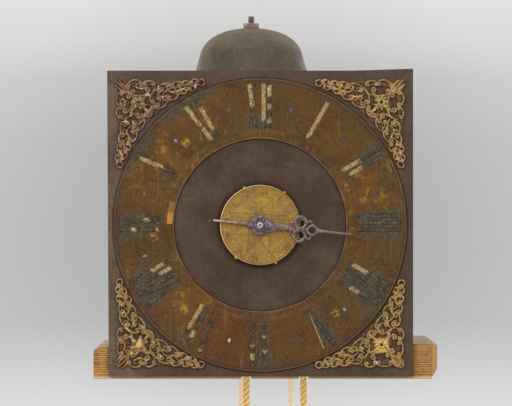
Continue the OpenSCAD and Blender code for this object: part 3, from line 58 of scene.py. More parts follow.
# The bell's radius under its dome, height and wall, the dome's height and roundness, and the side's slope
BELL_R, BELL_H, BELL_T, DOME_H, DOME_POWER, FLARE = 37.5, 46.6, 2.5, 22.0, 2.3, 0.28
BOARD_FRONT, BOARD_LEFT, BOARD_RIGHT, BOARD_TOP = -82.0, -138.5, 147.5, 29.0


def link(name, data):
    """A new object in the scene."""
    new = bpy.data.objects.new(name, data)
    SCENE.collection.objects.link(new)
    return new


# Camera
def aim_camera():
    """A level camera far in front of the dial, with the photograph's frame, and its scale at the dial
    plate."""
    pixel, far, wide = 0.830, 2500.0, 512
    picture_middle, plate_middle = (256.0, 203.0), (260.1, 223.6)
    data = bpy.data.cameras.new("camera")
    data.sensor_fit, data.sensor_width = "HORIZONTAL", 36.0
    data.lens = 36.0 * far / (wide * pixel)
    data.clip_start, data.clip_end = 0.05, 60.0
    cam = link("camera", data)
    x = (picture_middle[0] - plate_middle[0]) * pixel
    z = DIAL_MID_Z + (plate_middle[1] - picture_middle[1]) * pixel
    cam.location = (x * MM, (DIAL_FRONT - far) * MM, z * MM)
    cam.rotation_euler = (math.radians(90), 0, 0)
    SCENE.camera = cam


aim_camera()
SCENE.view_settings.view_transform = "Standard"


# Mesh helpers
def around(count):
    """Equal steps of angle round one turn."""
    return np.linspace(0, TURN, count, endpoint=False)


def grid_faces(rows, cols, closed=True, looped=False):
    """Quads of a grid of points, row by row. Closed joins the last column to the first, looped the last
    row."""
    i, j = np.indices((rows if looped else rows - 1, cols if closed else cols - 1))
    down, right = (i + 1) % rows, (j + 1) % cols
    return np.stack([i * cols + j, i * cols + right, down * cols + right, down * cols + j], -1).reshape(-1, 4)


def skin(grid, ends=True):
    """A grid of points that closes round each row, with a flat face over its first and last row."""
    rows, cols = grid.shape[:2]
    faces = grid_faces(rows, cols).tolist()
    if ends:
        faces += [list(range(cols))[::-1], list(range((rows - 1) * cols, rows * cols))]
    return grid.reshape(-1, 3), faces


def sheet(front, back):
    """A grid of points in front, the same grid behind it, and walls along the edges."""
    rows, cols = front.shape[:2]
    n = rows * cols
    cells = grid_faces(rows, cols, False)
    edge = list(range(cols)) + [i * cols + cols - 1 for i in range(1, rows)] + \
        [(rows - 1) * cols + k for k in range(cols - 2, -1, -1)] + [i * cols for i in range(rows - 2, 0, -1)]
    walls = [[a, b, b + n, a + n] for a, b in zip(edge, edge[1:] + edge[:1])]
    points = np.vstack([front.reshape(-1, 3), back.reshape(-1, 3)])
    return points, cells.tolist() + (cells + n).tolist() + walls


def join_parts(parts):
    """Several (points, faces) pairs as one list of points and one of faces."""
    faces, n = [], 0
    for p, f in parts:
        faces += [[a + n for a in q] for q in f]
        n += len(p)
    return np.concatenate([p for p, _ in parts]), faces


def turned(profile, centre, steps, axis="y", ends=True):
    """A lathe shape. Each profile point (radius, along) goes round: centre + (r cos t, r sin t) and along."""
    r, along = np.asarray(profile, float).T[..., None]
    t = around(steps)
    grid = np.stack([r * cos(t), r * sin(t), along + 0 * t], -1)
    return skin(grid[..., [0, 1, 2] if axis == "z" else [0, 2, 1]] + centre, ends)


def unit(vectors):
    """Vectors made one long."""
    return vectors / (np.linalg.norm(vectors, axis=-1, keepdims=True) + 1e-12)


def tube(path, radius, sides=8, flat=1.0):
    """A profile carried along a path in the dial's plane: centre + r (cos a side + flat sin a lift)."""
    along = unit(np.gradient(path, axis=0))
    side = unit(np.cross(along, (0, -1, 0)))
    lift = np.cross(side, along)
    a = around(sides)[:, None]
    r = np.broadcast_to(radius, len(path))[:, None, None]
    return skin(path[:, None] + r * (cos(a) * side[:, None] + flat * sin(a) * lift[:, None]))


def on_dial(u, v, y, turn=0.0):
    """Points (u, v) of the dial's plane, turned about the hand's axis, at a depth y."""
    c, s = cos(turn), sin(turn)
    return np.stack([HOUR[0] + u * c - v * s, y + 0 * u, HOUR[1] + u * s + v * c], -1)


def place(name, shape, slot, *stands_for, body="frame", look=None, crease=None, **values):
    """A mesh piece from points and faces in millimetres, with one value per point for each name in values.
    Blender turns its faces outwards. Edges sharper than crease, in degrees, stay sharp."""
    points, faces = shape
    mesh = bpy.data.meshes.new(name)
    mesh.from_pydata((points * MM).tolist(), [], [[int(k) for k in f] for f in faces])
    for key, value in values.items():
        carried = mesh.attributes.new(key, "FLOAT", "POINT")
        carried.data.foreach_set("value", np.asarray(value, np.float32).ravel())
    bm = bmesh.new()
    bm.from_mesh(mesh)
    bmesh.ops.remove_doubles(bm, verts=bm.verts, dist=1e-7)
    bmesh.ops.recalc_face_normals(bm, faces=bm.faces)
    if crease:
        for e in bm.edges:
            e.smooth = len(e.link_faces) == 2 and e.calc_face_angle(0) < math.radians(crease)
    bm.to_mesh(mesh)
    bm.free()
    mesh.polygons.foreach_set("use_smooth", np.full(len(mesh.polygons), True))
    mesh.materials.append(FINISH[look or slot])
    piece = link(name, mesh)
    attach(piece, body)
    if stands_for:
        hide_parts(*stands_for)
    return piece


# Shader trees
def rgb(r, g, b):
    """A colour as it is read off a screen, 0 to 255, in linear light."""
    linear = [v / 255 / 12.92 if v <= 10 else ((v / 255 + 0.055) / 1.055) ** 2.4 for v in (r, g, b)]
    return (*linear, 1.0)


class Value:
    """A number that changes over a surface: a node's output, and the sums that can be done on it."""

    def __init__(self, tree, out):
        self.tree, self.out = tree, out

    def by(self, kind, *others):
        """What a Math node of that kind makes of it. LESS_THAN and GREATER_THAN give 1 or 0."""
        return self.tree.math(kind, self, *others)

    def unit(self):
        """Kept between 0 and 1."""
        self.out.node.use_clamp = True
        return self

    def __add__(self, other):
        return self.by("ADD", other)

    def __sub__(self, other):
        return self.by("SUBTRACT", other)

    def __rsub__(self, other):
        return self.tree.math("SUBTRACT", other, self)

    def __mul__(self, other):
        return self.by("MULTIPLY", other)

    def __truediv__(self, other):
        return self.by("DIVIDE", other)

    def __lt__(self, other):
        return self.by("LESS_THAN", other)

    def __gt__(self, other):
        return self.by("GREATER_THAN", other)

    def __abs__(self):
        return self.by("ABSOLUTE")


class Tree:
    """The nodes and links of one shader tree."""

    def __init__(self, tree):
        self.nodes, self.links = tree.nodes, tree.links

    def feed(self, into, value):
        """Sets an input to a number or a colour, or links a Value to it."""
        if isinstance(value, Value):
            self.links.new(value.out, into)
        else:
            into.default_value = value

    def node(self, kind, *numbered, **named):
        """A new node, with its inputs given by number or by name."""
        new = self.nodes.new("ShaderNode" + kind)
        for key, value in enumerate(numbered):
            self.feed(new.inputs[key], value)
        for key, value in named.items():
            self.feed(new.inputs[key.replace("_", " ")], value)
        return new

    def out(self, node, name=0):
        """A node's output as a Value."""
        return Value(self, node.outputs[name])

    def math(self, kind, *values):
        """A Math node's sum of some values."""
        new = self.node("Math", *values)
        new.operation = kind
        return self.out(new)

    def split(self, what="Object"):
        """The three parts of the Object coordinates, in metres, or of the Normal."""
        parts = self.node("SeparateXYZ", self.out(self.node("TexCoord"), what))
        return [self.out(parts, k) for k in range(3)]

    def mask(self, group, **values):
        """What a node group gives for some numbers."""
        new = self.node("Group")
        new.node_tree = group
        for key, value in values.items():
            new.inputs[key].default_value = value
        return self.out(new, "Mask")


def most(first, *others):
    """The largest of some values."""
    for other in others:
        first = first.by("MAXIMUM", other)
    return first


def length(a, b):
    """The square root of a^2 + b^2."""
    return (a * a + b * b).by("SQRT")


def new_group(name, **inputs):
    """A node group with number inputs and one output, Mask: the group, its tree, and its inputs as Values."""
    group = bpy.data.node_groups.new(name, "ShaderNodeTree")
    sockets = group.interface
    for key, value in inputs.items():
        sockets.new_socket(name=key, in_out="INPUT", socket_type="NodeSocketFloat").default_value = value
    sockets.new_socket(name="Mask", in_out="OUTPUT", socket_type="NodeSocketFloat")
    t = Tree(group)
    given = t.nodes.new("NodeGroupInput")
    return group, t, [t.out(given, key) for key in inputs]


def noise_group(name, stretch):
    """A mask from stretched noise: noise of the Object coordinates, clipped between Low and High."""
    group, t, (scale, detail, low, high) = new_group(name, Scale=100.0, Detail=4.0, Low=0.4, High=0.6)
    spot = t.node("Mapping", Vector=t.out(t.node("TexCoord"), "Object"), Scale=stretch)
    noise = t.node("TexNoise", Vector=t.out(spot), Scale=scale, Detail=detail, Roughness=0.6)
    share = t.node("MapRange", Value=t.out(noise, "Fac"), From_Min=low, From_Max=high)
    t.feed(t.nodes.new("NodeGroupOutput").inputs["Mask"], t.out(share))
    return group


MOTTLE = noise_group("mottle", (1, 1, 1))
STREAK_X = noise_group("streaks_along_x", (0.05, 1, 1))
STREAK_Z = noise_group("streaks_along_z", (1, 1, 0.07))


def dust_group():
    """Dust that lies on faces looking up: the normal's height, broken up by noise."""
    group, t, (amount,) = new_group("dust", Amount=0.5)
    up = t.out(t.node("MapRange", Value=t.split("Normal")[2], From_Min=0.3))
    dust = up * t.mask(MOTTLE, Scale=90, Low=0.3, High=0.7) * amount
    t.feed(t.nodes.new("NodeGroupOutput").inputs["Mask"], dust)
    return group


DUST = dust_group()


class Finish(Tree):
    """A material under construction: a Principled shader, and colour layers mixed one over another."""

    def __init__(self, name, colour, rough, metal=0.0, **uniform):
        self.mat = bpy.data.materials.new(name)
        self.mat.use_nodes = True
        super().__init__(self.mat.node_tree)
        self.into = self.nodes["Principled BSDF"].inputs
        for key, value in dict(uniform, Metallic=metal, Roughness=rough).items():
            self.into[key.replace("_", " ")].default_value = value
        plain = self.node("RGB")
        plain.outputs[0].default_value = rgb(*colour)
        self.colour, self.height = self.out(plain), None

    def noise(self, scale, low=0.3, high=0.7, detail=4, group=MOTTLE):
        """One of the noise groups' masks."""
        return self.mask(group, Scale=scale, Low=low, High=high, Detail=detail)

    def layer(self, mask, colour, share=1.0):
        """Mixes a share of a colour over what is there, where the mask is."""
        mix = self.node("Mix")
        mix.data_type = "RGBA"
        self.feed(mix.inputs["Factor"], mask if share == 1.0 else mask * share)
        self.feed(mix.inputs["A"], self.colour)
        self.feed(mix.inputs["B"], rgb(*colour))
        self.colour = self.out(mix, "Result")
        return self

    def clouds(self, *rows, where=None, group=MOTTLE):
        """Layers in the shape of noise. A row is scale, low, high, detail, colour, share."""
        for scale, low, high, detail, colour, share in rows:
            noise = self.noise(scale, low, high, detail, group)
            self.layer(where * noise if where else noise, colour, share)
        return self

    def relief(self, mask, height):
        """Adds a mask to the height, in millimetres."""
        rise = mask * (height * MM)
        self.height = self.height + rise if self.height else rise
        return self

    def roughen(self, scale, low, high):
        """Roughness that noise changes from low to high."""
        share = self.node("MapRange", self.noise(scale), To_Min=low, To_Max=high)
        self.feed(self.into["Roughness"], self.out(share))
        return self

    def value(self, name):
        """A value that the piece carries at each point."""
        carried = self.node("Attribute")
        carried.attribute_name = name
        return self.out(carried, "Fac")

    def facing(self, axis):
        """How far a face looks along an axis, either way: the size of that part of its normal."""
        return abs(self.split("Normal")[axis])

    def polar(self, axis=HOUR):
        """Distance from an axis (x, z) in metres, and the angle clockwise from twelve."""
        x, _, z = self.split()
        x, z = x - axis[0] * MM, z - axis[1] * MM
        return length(x, z), x.by("ARCTAN2", z)

    def done(self):
        """Links the colour and the height to the shader, and gives the material."""
        self.feed(self.into["Base Color"], self.colour)
        if self.into["Emission Strength"].default_value:
            self.feed(self.into["Emission Color"], self.colour)
        if self.height:
            bump = self.node("Bump", Strength=1.0, Distance=1.0, Height=self.height)
            self.feed(self.into["Normal"], self.out(bump))
        return self.mat


def sectors(angle, count, shift=0.0):
    """How far an angle is from the nearest of count equal divisions, in radians."""
    step = TURN / count
    turns = (angle + (10 * TURN + step / 2 - shift)) / step
    return abs((turns.by("FRACT") - 0.5) * step)


def circle(r, radius, width, soft=0.05):
    """1 within half a width of a circle, in millimetres, falling to 0 over the soft stretch."""
    return (1.0 - (abs(r - radius * MM) - width * MM / 2) / (soft * MM)).unit()


def towards(angle, middle, spread):
    """1 at an angle in degrees clockwise from twelve, falling to 0 a spread away on both sides."""
    edge = math.cos(math.radians(spread))
    return (((angle - math.radians(middle)).by("COSINE") - edge) / (1 - edge)).unit()


# Finishes
def ring_finish():
    """Brown-olive tarnish with orange, yellow and grey clouds, scratches, and the engraved circles and
    divisions."""
    f = Finish("ring_brass", (84, 58, 29), 0.5, Specular_IOR_Level=0.12)
    r, angle = f.polar()
    f.clouds((22, 0.44, 0.66, 5, (98, 70, 32), 0.75), (46, 0.5, 0.7, 6, (64, 50, 34), 0.85))
    orange = most(towards(angle, -48, 34), towards(angle, -135, 30), towards(angle, 75, 26))
    f.clouds((75, 0.46, 0.66, 5, (134, 82, 32), 0.65), (130, 0.57, 0.68, 4, (150, 120, 50), 0.65),
             where=orange)
    f.clouds((50, 0.4, 0.6, 4, (96, 52, 30), 0.6), where=towards(angle, 195, 62))
    f.clouds((34, 0.4, 0.6, 5, (74, 58, 42), 0.6), where=((r - 106 * MM) * 90).unit())
    f.clouds((420, 0.5, 0.7, 3, (110, 84, 50), 0.4), (300, 0.54, 0.7, 4, (56, 44, 32), 0.7),
             (900, 0.66, 0.74, 2, (176, 146, 96), 0.5))
    f.clouds((420, 0.6, 0.72, 4, (140, 112, 66), 0.35), group=STREAK_Z)
    f.clouds((300, 0.6, 0.72, 4, (60, 48, 34), 0.45), group=STREAK_X)

    # The track between two engraved circles, cut across at every quarter, and two bare cells near nine
    inner, outer = 72.9, 77.3
    quarter = sectors(angle, 48) * r < 0.22 * MM
    inside = (r > inner * MM) * (r < outer * MM)
    lines = most(circle(r, inner, 0.4), circle(r, outer, 0.4), circle(r, 78.9, 0.3), quarter * inside)
    worn = f.noise(55, 0.4, 0.6)
    f.layer(lines * most(worn, towards(angle, 168, 55)), (146, 116, 72), 0.65)
    f.layer(lines * (1.0 - worn), (50, 40, 30), 0.75)
    for middle, half, colour, share in ((-82, 7.2, (132, 100, 48), 0.8), (-85.6, 3.6, (186, 128, 60), 0.85)):
        f.layer(inside * (towards(angle, middle, half) > 0.0) * (1.0 - quarter * 0.9), colour, share)
    f.layer(circle(r, 119.4, 0.5, 0.3), (58, 44, 30), 0.6)
    # Painted highlight: a thin pale line along the ring's outer and inner edges
    edges = most(circle(r, RING_OUT - 0.05, 0.2, 0.2), circle(r, RING_IN + 0.1, 0.3, 0.2))
    f.clouds((34, 0.36, 0.6, 4, (160, 132, 100), 0.7), where=edges)

    # A wax blot between each two hours, flecks on four of them, and yellow rubbed spots
    across, out = sectors(angle, 12, TURN / 24) * (RING_MIDDLE * MM), r - RING_MIDDLE * MM
    blot = (1.0 - (across * across + out * out * 0.42).by("SQRT") / (2.9 * MM)).unit()
    dot, blot = ((blot - 0.55) * 4.0).unit(), (blot * 1.9).unit()
    f.clouds((150, 0.3, 0.55, 4, (68, 66, 64), 0.85), where=blot)
    f.clouds((260, 0.42, 0.6, 4, (128, 122, 112), 0.7), where=dot)
    for at, wide, colour in ((195, 7, (216, 200, 172)), (135, 8, (140, 156, 150)), (-45, 9, (150, 148, 142)),
                             (-105, 5, (170, 164, 152))):
        f.clouds((420, 0.35, 0.5, 3, colour, 0.9), where=dot * (towards(angle, at, wide) > 0.0))
    for at, radius in ((139.3, 96.5), (263.6, 88.5), (222, 94), (318, 92)):
        spot = towards(angle, at, 2.6) * circle(r, radius, 1, 4)
        f.clouds((330, 0.44, 0.56, 5, (184, 146, 58), 0.8), where=spot)

    # Grey wax haze round the numerals: angle, spread, radius, width, softness
    haze = ((120, 10.5, 99, 36, 4), (90, 8.5, 99, 32, 5), (-118, 11, 99, 32, 6), (148.5, 4.5, 97, 26, 10),
            (178, 4, 99, 34, 4), (-30, 14, 117, 4, 5), (-60, 12, 117, 4, 5), (-1, 9, 84, 5, 6),
            (-90, 7, 105, 16, 8), (57, 4, 108, 16, 6))
    haze = most(*[(towards(angle, at, spread) * 2.2).unit() * circle(r, *band) for at, spread, *band in haze])
    f.clouds((120, 0.36, 0.6, 4, (66, 64, 52), 0.85), (420, 0.5, 0.6, 4, (94, 86, 62), 0.6), where=haze)
    f.relief(lines, -0.1).relief(blot, -0.1).relief(f.noise(600), 0.03).relief(f.noise(60, 0.2, 0.8), 0.06)
    return f.roughen(90, 0.36, 0.62).done()


def plate_finish():
    """Dark brown tarnished brass, lighter at the left and top, and matted darker inside the ring."""
    f = Finish("dark_brass", (80, 62, 46), 0.54, Specular_IOR_Level=0.18)
    r, _ = f.polar()
    x, y, z = f.split()
    front = y < (DIAL_FRONT + 0.7) * MM
    left, top = ((-85 * MM - x) * 40).unit(), ((z - 240 * MM) * 90).unit()
    f.layer(left, (120, 103, 87), 0.85).layer(top, (88, 70, 55), 0.6)
    f.layer((r < (RING_IN + 0.1) * MM) * front, (68, 50, 35), 0.95)
    f.clouds((110, 0.46, 0.7, 5, (70, 57, 44), 0.22), (420, 0.54, 0.72, 3, (112, 94, 78), 0.16),
             group=STREAK_Z)
    f.clouds((360, 0.52, 0.7, 3, (60, 48, 38), 0.3), group=STREAK_X)
    f.clouds((14, 0.4, 0.62, 6, (66, 52, 42), 0.6), (24, 0.45, 0.66, 5, (94, 78, 64), 0.5),
             (240, 0.45, 0.68, 5, (58, 44, 35), 0.45), (90, 0.56, 0.76, 5, (98, 68, 52), 0.45),
             (60, 0.6, 0.72, 5, (70, 74, 62), 0.35), (620, 0.66, 0.74, 2, (136, 118, 98), 0.45))
    # Painted shadow: dark rounds on the plate beside the raised alarm disc and along both edges of the
    # chapter ring
    painted_shadow = most(circle(r, DISC_R + 0.3, 3, 3), circle(r, RING_IN - 0.2, 1.0, 0.8),
                circle(r, RING_OUT + 0.5, 0.9, 1.0))
    f.layer(painted_shadow * front, (34, 26, 20), 0.65)
    scribed = circle(r, 66.5, 0.3, 0.2) * front
    f.clouds((40, 0.45, 0.6, 4, (108, 92, 74), 0.5), where=scribed)
    f.relief(scribed, -0.08).relief(f.noise(420), 0.06).relief(f.noise(40, 0.2, 0.8), 0.08)
    return f.roughen(70, 0.44, 0.7).done()


def disc_finish():
    """Golden brass with brown stains, yellow rubbed patches and scratches, and a painted highlight along the
    left and upper part of its rim.
    """
    f = Finish("disc_brass", (158, 122, 52), 0.44, 0.1, Specular_IOR_Level=0.25)
    r, angle = f.polar()
    f.clouds((70, 0.42, 0.66, 5, (130, 100, 56), 0.85), (90, 0.56, 0.68, 4, (176, 144, 58), 0.7),
             (160, 0.52, 0.7, 5, (120, 86, 56), 0.7), (520, 0.54, 0.7, 3, (104, 78, 44), 0.6),
             (650, 0.6, 0.72, 3, (196, 164, 96), 0.6))
    f.clouds((300, 0.6, 0.7, 4, (96, 72, 42), 0.5), group=STREAK_X)
    f.layer(circle(r, 24.0, 0.3, 0.15), (98, 72, 42), 0.6)
    f.layer(circle(r, 31.6, 0.25, 0.2), (92, 68, 38), 0.7)
    # Painted highlight along the left and upper part of the rim
    f.layer(circle(r, 33.0, 0.7, 0.3) * towards(angle, -70, 110), (216, 188, 136), 0.8)
    f.relief(f.noise(700, group=STREAK_X), 0.03).relief(f.noise(90), 0.05)
    return f.roughen(120, 0.34, 0.55).done()


def ink_finish():
    """Brown old wax in the disc's fine lines, thin in places so that the brass shows."""
    f = Finish("disc_ink", (88, 66, 36), 0.55, 0.1)
    f.clouds((260, 0.5, 0.64, 4, (124, 94, 50), 0.8), (700, 0.56, 0.66, 2, (58, 44, 36), 0.7))
    return f.done()


def cast_finish():
    """Cast brass: brown skin, painted near black shade in the hollows, and pinkish gold on the highest
    lines, lighter both for wear and for a painted highlight."""
    f = Finish("cast_brass", (96, 70, 45), 0.44, 0.15, Specular_IOR_Level=0.35)
    gilt, crest = f.value("gilt"), f.value("crest")
    f.clouds((130, 0.44, 0.62, 5, (116, 88, 56), 0.7), (60, 0.5, 0.66, 4, (112, 66, 44), 0.6),
             (500, 0.5, 0.66, 3, (66, 48, 34), 0.7))
    f.clouds((110, 0.36, 0.58, 4, (132, 98, 42), 0.75), where=gilt)
    # Painted shade: near black in the hollows of the relief and in the screws' drilled centres
    f.layer(f.value("cavity"), (36, 26, 18), 0.95)
    # The crests are lighter for real wear and for a painted highlight, with near-white painted glints below
    crest_wear_and_highlight = crest * f.noise(330, 0.42, 0.6, 3)
    f.layer(crest_wear_and_highlight, (190, 150, 112), 0.9)
    f.clouds((260, 0.34, 0.56, 4, (190, 148, 74), 0.75), (95, 0.52, 0.62, 4, (168, 160, 66), 0.5),
             where=crest * gilt)
    f.clouds((210, 0.58, 0.66, 4, (118, 62, 46), 0.5), (560, 0.52, 0.64, 3, (58, 42, 28), 0.65))
    f.clouds((240, 0.56, 0.62, 4, (240, 224, 176), 0.8), where=crest_wear_and_highlight)
    f.layer((((gilt - 1.0) * crest).unit() * 2.0).unit(), (214, 176, 98), 0.85)
    return f.relief(f.noise(900), 0.06).roughen(200, 0.32, 0.56).done()


def groove_finish():
    """Wax in the engraved strokes: slate and speckled, and pale bare brass where it fell out."""
    f = Finish("groove_wax", (60, 54, 44), 0.65, Specular_IOR_Level=0.12)
    f.clouds((260, 0.45, 0.65, 5, (92, 87, 74), 0.8), (150, 0.5, 0.66, 5, (84, 66, 44), 0.7),
             (800, 0.66, 0.72, 2, (206, 202, 190), 0.8))
    pale = f.value("bare") * f.noise(330, 0.3, 0.48)
    f.layer(pale, (160, 138, 96))
    f.clouds((420, 0.5, 0.62, 3, (120, 98, 66), 0.8), (44, 0.5, 0.62, 4, (170, 134, 96), 0.4),
             (520, 0.62, 0.68, 2, (214, 200, 150), 0.8), where=pale)
    return f.relief(f.noise(500), 0.15).done()


def blued_finish():
    """Old steel gone pinkish brown and grey with bright pits, and still blue and dark around the hand's
    boss."""
    f = Finish("blued_iron", (122, 100, 94), 0.4, 0.4)
    r, _ = f.polar()
    f.clouds((200, 0.44, 0.62, 5, (74, 58, 58), 0.85), (420, 0.5, 0.66, 4, (150, 126, 114), 0.75))
    boss = (1.0 - (r - 8.5 * MM) / (5 * MM)).unit() * (r > 2.6 * MM)
    f.layer(boss, (60, 60, 66), 0.8)
    f.clouds((300, 0.52, 0.62, 4, (116, 122, 122), 0.8), (420, 0.56, 0.62, 3, (150, 118, 132), 0.8),
             where=boss)
    f.clouds((800, 0.6, 0.7, 3, (206, 192, 180), 0.75), (700, 0.58, 0.68, 3, (48, 36, 36), 0.7))
    # Painted highlight: the tail is lighter and pinkish
    tail = ((-13 * MM - f.split()[0]) * 90).unit()
    f.clouds((260, 0.36, 0.56, 4, (186, 158, 136), 0.75), where=tail)
    f.layer(circle(r, 1.8, 0.9, 0.3), (206, 190, 184), 0.8)
    # Painted shade: the stud's drilled centre is near black
    f.layer(r < 1.1 * MM, (30, 22, 22), 0.9)
    return f.relief(f.noise(420), 0.16).roughen(300, 0.28, 0.55).done()


def bell_finish():
    """Bell metal dulled to grey-brown, green towards its lip, with faint turning marks."""
    f = Finish("bell_metal", (88, 76, 60), 0.72, 0.05, Specular_IOR_Level=0.25)
    z = f.split()[2]
    f.clouds((36, 0.42, 0.68, 5, (62, 58, 48), 0.8), (150, 0.5, 0.75, 5, (96, 84, 68), 0.6),
             (90, 0.58, 0.72, 5, (54, 52, 44), 0.6))
    f.clouds((80, 0.35, 0.6, 4, (56, 64, 52), 0.6), where=((266 * MM - z) * 90).unit())
    f.clouds((420, 0.5, 0.7, 3, (112, 98, 76), 0.4))
    return f.relief((z * 9000).by("SINE"), 0.006).relief(f.noise(260), 0.06).roughen(60, 0.6, 0.8).done()


def pine_finish():
    """Old pine: straight grain along the board, dark saw kerfs, pale planed ends and grey dust on top."""
    f = Finish("pine", (168, 122, 68), 0.62, Specular_IOR_Level=0.15)
    x, y, z = f.split()
    f.clouds((150, 0.42, 0.6, 3, (146, 98, 50), 0.7), (420, 0.5, 0.64, 4, (122, 78, 38), 0.6),
             (760, 0.52, 0.66, 2, (232, 192, 128), 0.55), group=STREAK_X)
    f.clouds((60, 0.55, 0.72, 5, (140, 84, 52), 0.5))
    f.clouds((190, 0.36, 0.58, 3, (212, 160, 90), 0.7), where=f.value("sawn"))
    f.layer(f.value("kerf"), (46, 24, 10), 0.97)
    f.layer(((x - 110 * MM) * 60).unit(), (140, 100, 58), 0.45)
    f.layer(((x - 142.8 * MM) * 2000).unit(), (196, 155, 96), 0.7)
    end = ((f.facing(0) - 0.75) * 8).unit()
    f.layer(end, (160, 122, 76), 0.7)
    pith_y, pith_z, year = -26 * MM, -38 * MM, 2.7 * MM
    rings = length(y - pith_y, z - pith_z) + f.noise(34, 0.2, 0.8) * (3 * MM)
    rings = (rings / year).by("FRACT").by("POWER", 2.0)
    f.clouds((160, 0.2, 0.6, 4, (112, 72, 40), 0.85), where=rings * end)
    # Painted light: the lowest strip of the board's front is pale, where the dial plate shades it
    f.layer(((2.6 * MM - z) * 900).unit(), (226, 186, 132), 0.7)
    f.layer(((f.facing(2) - 0.5) * 2).unit(), (138, 114, 84), 0.7)
    f.layer(f.mask(DUST, Amount=1.3), (136, 128, 115), 0.75)
    return f.relief(f.noise(330, 0.4, group=STREAK_X), -0.12).relief(f.noise(700), 0.04).done()


def iron_finish():
    """Forged iron frame: near black scale, brown rust and pale dust on its upper faces."""
    f = Finish("iron", (88, 80, 74), 0.55, 0.35)
    f.clouds((60, 0.45, 0.7, 6, (112, 78, 56), 0.7), (260, 0.5, 0.7, 5, (134, 118, 102), 0.5))
    f.layer(f.mask(DUST, Amount=0.5), (124, 112, 96))
    return f.relief(f.noise(120, 0.2, 0.8, 6), 0.18).roughen(140, 0.42, 0.72).done()


def steel_finish():
    """Worn iron and steel: grey with brown stains and fine scratches."""
    f = Finish("steel", (118, 110, 102), 0.36, 0.75)
    f.clouds((110, 0.48, 0.7, 6, (92, 72, 56), 0.65), (420, 0.55, 0.72, 4, (64, 58, 54), 0.6))
    return f.relief(f.noise(800, group=STREAK_X), 0.02).roughen(170, 0.26, 0.55).done()


def wheel_finish(name, axis=None, arbor=0.0, pinion=0.0, low=0.0, high=0.0):
    """Dull yellow wheel brass with brown oil stains and file marks. Within the arbor's radius of the given
    axis, and within the pinion's between its two depths, the metal is grey steel."""
    f = Finish(name, (160, 128, 66), 0.36, 0.7)
    f.clouds((70, 0.45, 0.7, 6, (120, 88, 44), 0.7), (300, 0.55, 0.74, 5, (82, 62, 38), 0.6))
    if axis:
        r, _ = f.polar(axis)
        cut = abs(f.split()[1] - (low + high) / 2 * MM) < (high - low) / 2 * MM
        steel = most(r < arbor * MM, (r < pinion * MM) * cut)
        f.layer(steel, (122, 114, 106))
        f.clouds((260, 0.5, 0.7, 5, (86, 68, 54), 0.7), where=steel)
    return f.relief(f.noise(900, group=STREAK_Z), 0.015).roughen(150, 0.25, 0.5).done()


def rope_finish(name, light, dark, glow):
    """Laid cotton with fine fibres: painted shade between the strands, from the piece's own depth attribute,
    and a faint painted glow in its own colour.
    """
    f = Finish(name, light, 0.8, Sheen_Weight=0.3, Specular_IOR_Level=0.1, Emission_Strength=glow)
    # Painted shade between the strands, darkest where the strands dip
    f.clouds((500, 0.5, 0.7, 4, dark, 0.2)).layer(f.value("hollow"), dark, 0.95)
    return f.relief(f.noise(2200, detail=2), 0.12).done()


# Wheels cut on steel arbors: axis (x, z), the arbor's radius, then the pinion's radius and its two depths
ARBORS = {
    "going_great_wheel": ((11.97, 88.64), 3.6, 3.9, -75, -67),
    "second_wheel": ((20.94, 122.11), 2.6, 4.7, -40, -30.5),
    "escape_wheel": ((3.95, 145.49), 2.6, 4.1, -24.5, -16),
    "strike_great_wheel": ((5.0, 88.64), 3.6, 3.6, 67, 74),
    "hoop_wheel": ((24.87, 117.02), 2.6, 4.7, 29.5, 39),
    "warning_wheel": ((7.81, 135.97), 2.6, 3.2, 15.5, 24.3),
}
FINISH = {
    "ring_brass": ring_finish(), "dark_brass": plate_finish(), "disc_brass": disc_finish(),
    "disc_ink": ink_finish(), "cast_brass": cast_finish(), "groove_wax": groove_finish(),
    "blued_iron": blued_finish(), "bell_metal": bell_finish(), "pine": pine_finish(), "iron": iron_finish(),
    "steel": steel_finish(), "wheel_brass": wheel_finish("wheel_brass"),
    # The ropes' last number is a painted glow: they emit a little light of their own colour, so they look lit
    # in the board's shade
    "tan_rope": rope_finish("tan_rope", (255, 210, 134), (92, 46, 10), 0.26),
    "white_rope": rope_finish("white_rope", (255, 242, 204), (168, 108, 46), 0.36)}
for row in frame["record"]["subparts"]:
    look = FINISH[row["material_slot"]]
    if row["node"] in ARBORS:
        look = wheel_finish(row["node"] + "_brass", *ARBORS[row["node"]])
    for ms in NODES[row["node"]].material_slots:
        ms.link = "OBJECT"
        ms.material = look


# Ropes
GOING, STRIKE = ("tan_rope", 5.5, 14.4), ("white_rope", 4.5, 10.0)  # slot, diameter, length of one lay
GOING_Y, STRIKE_Y = -45, 45
HOOK_TOP, KNOT_TOP = -36, -34


def run(xs, y, last):
    """A run's points, from the pulley straight down to just below the picture's edge."""
    return [(x, y, z) for x, z in zip(xs, (88.6, 75, 61, 47, 33, 19, 5, -9, -23, last))]


def over(half, y):
    """A rope's points over its pulley: one half as given, up to the top, and its mirror."""
    top = half[-1][0]
    return [(x, y, z) for x, z in half] + [(2 * top - x, y, z) for x, z in half[-2::-1]]


def fine_path(route, step):
    """Points every step along a smooth curve through the route (a cubic through each four points)."""
    p = np.asarray(route, float)
    ends = np.vstack([2 * p[0] - p[1], p, 2 * p[-1] - p[-2]])
    out = []
    for i in range(len(p) - 1):
        a, b, c, d = ends[i:i + 4]
        t = np.linspace(0, 1, max(2, int(round(np.linalg.norm(c - b) / step))), endpoint=False)[:, None]
        square, cube = 2 * a - 5 * b + 4 * c - d, 3 * b - a - 3 * c + d
        out.append(0.5 * (2 * b + (c - a) * t + square * t ** 2 + cube * t ** 3))
    return np.vstack(out + [p[-1:]])


def carried_frame(path):
    """Two unit vectors across the path at each point, carried along it without a twist: each step takes away
    the part of the last normal that lies along the path."""
    along = unit(np.gradient(path, axis=0))
    out = np.empty_like(path)
    n = np.array([0.0, -1.0, 0.0])
    for i, t in enumerate(along):
        n = unit(n - t * (n @ t))
        out[i] = n
    return np.cross(along, out), out


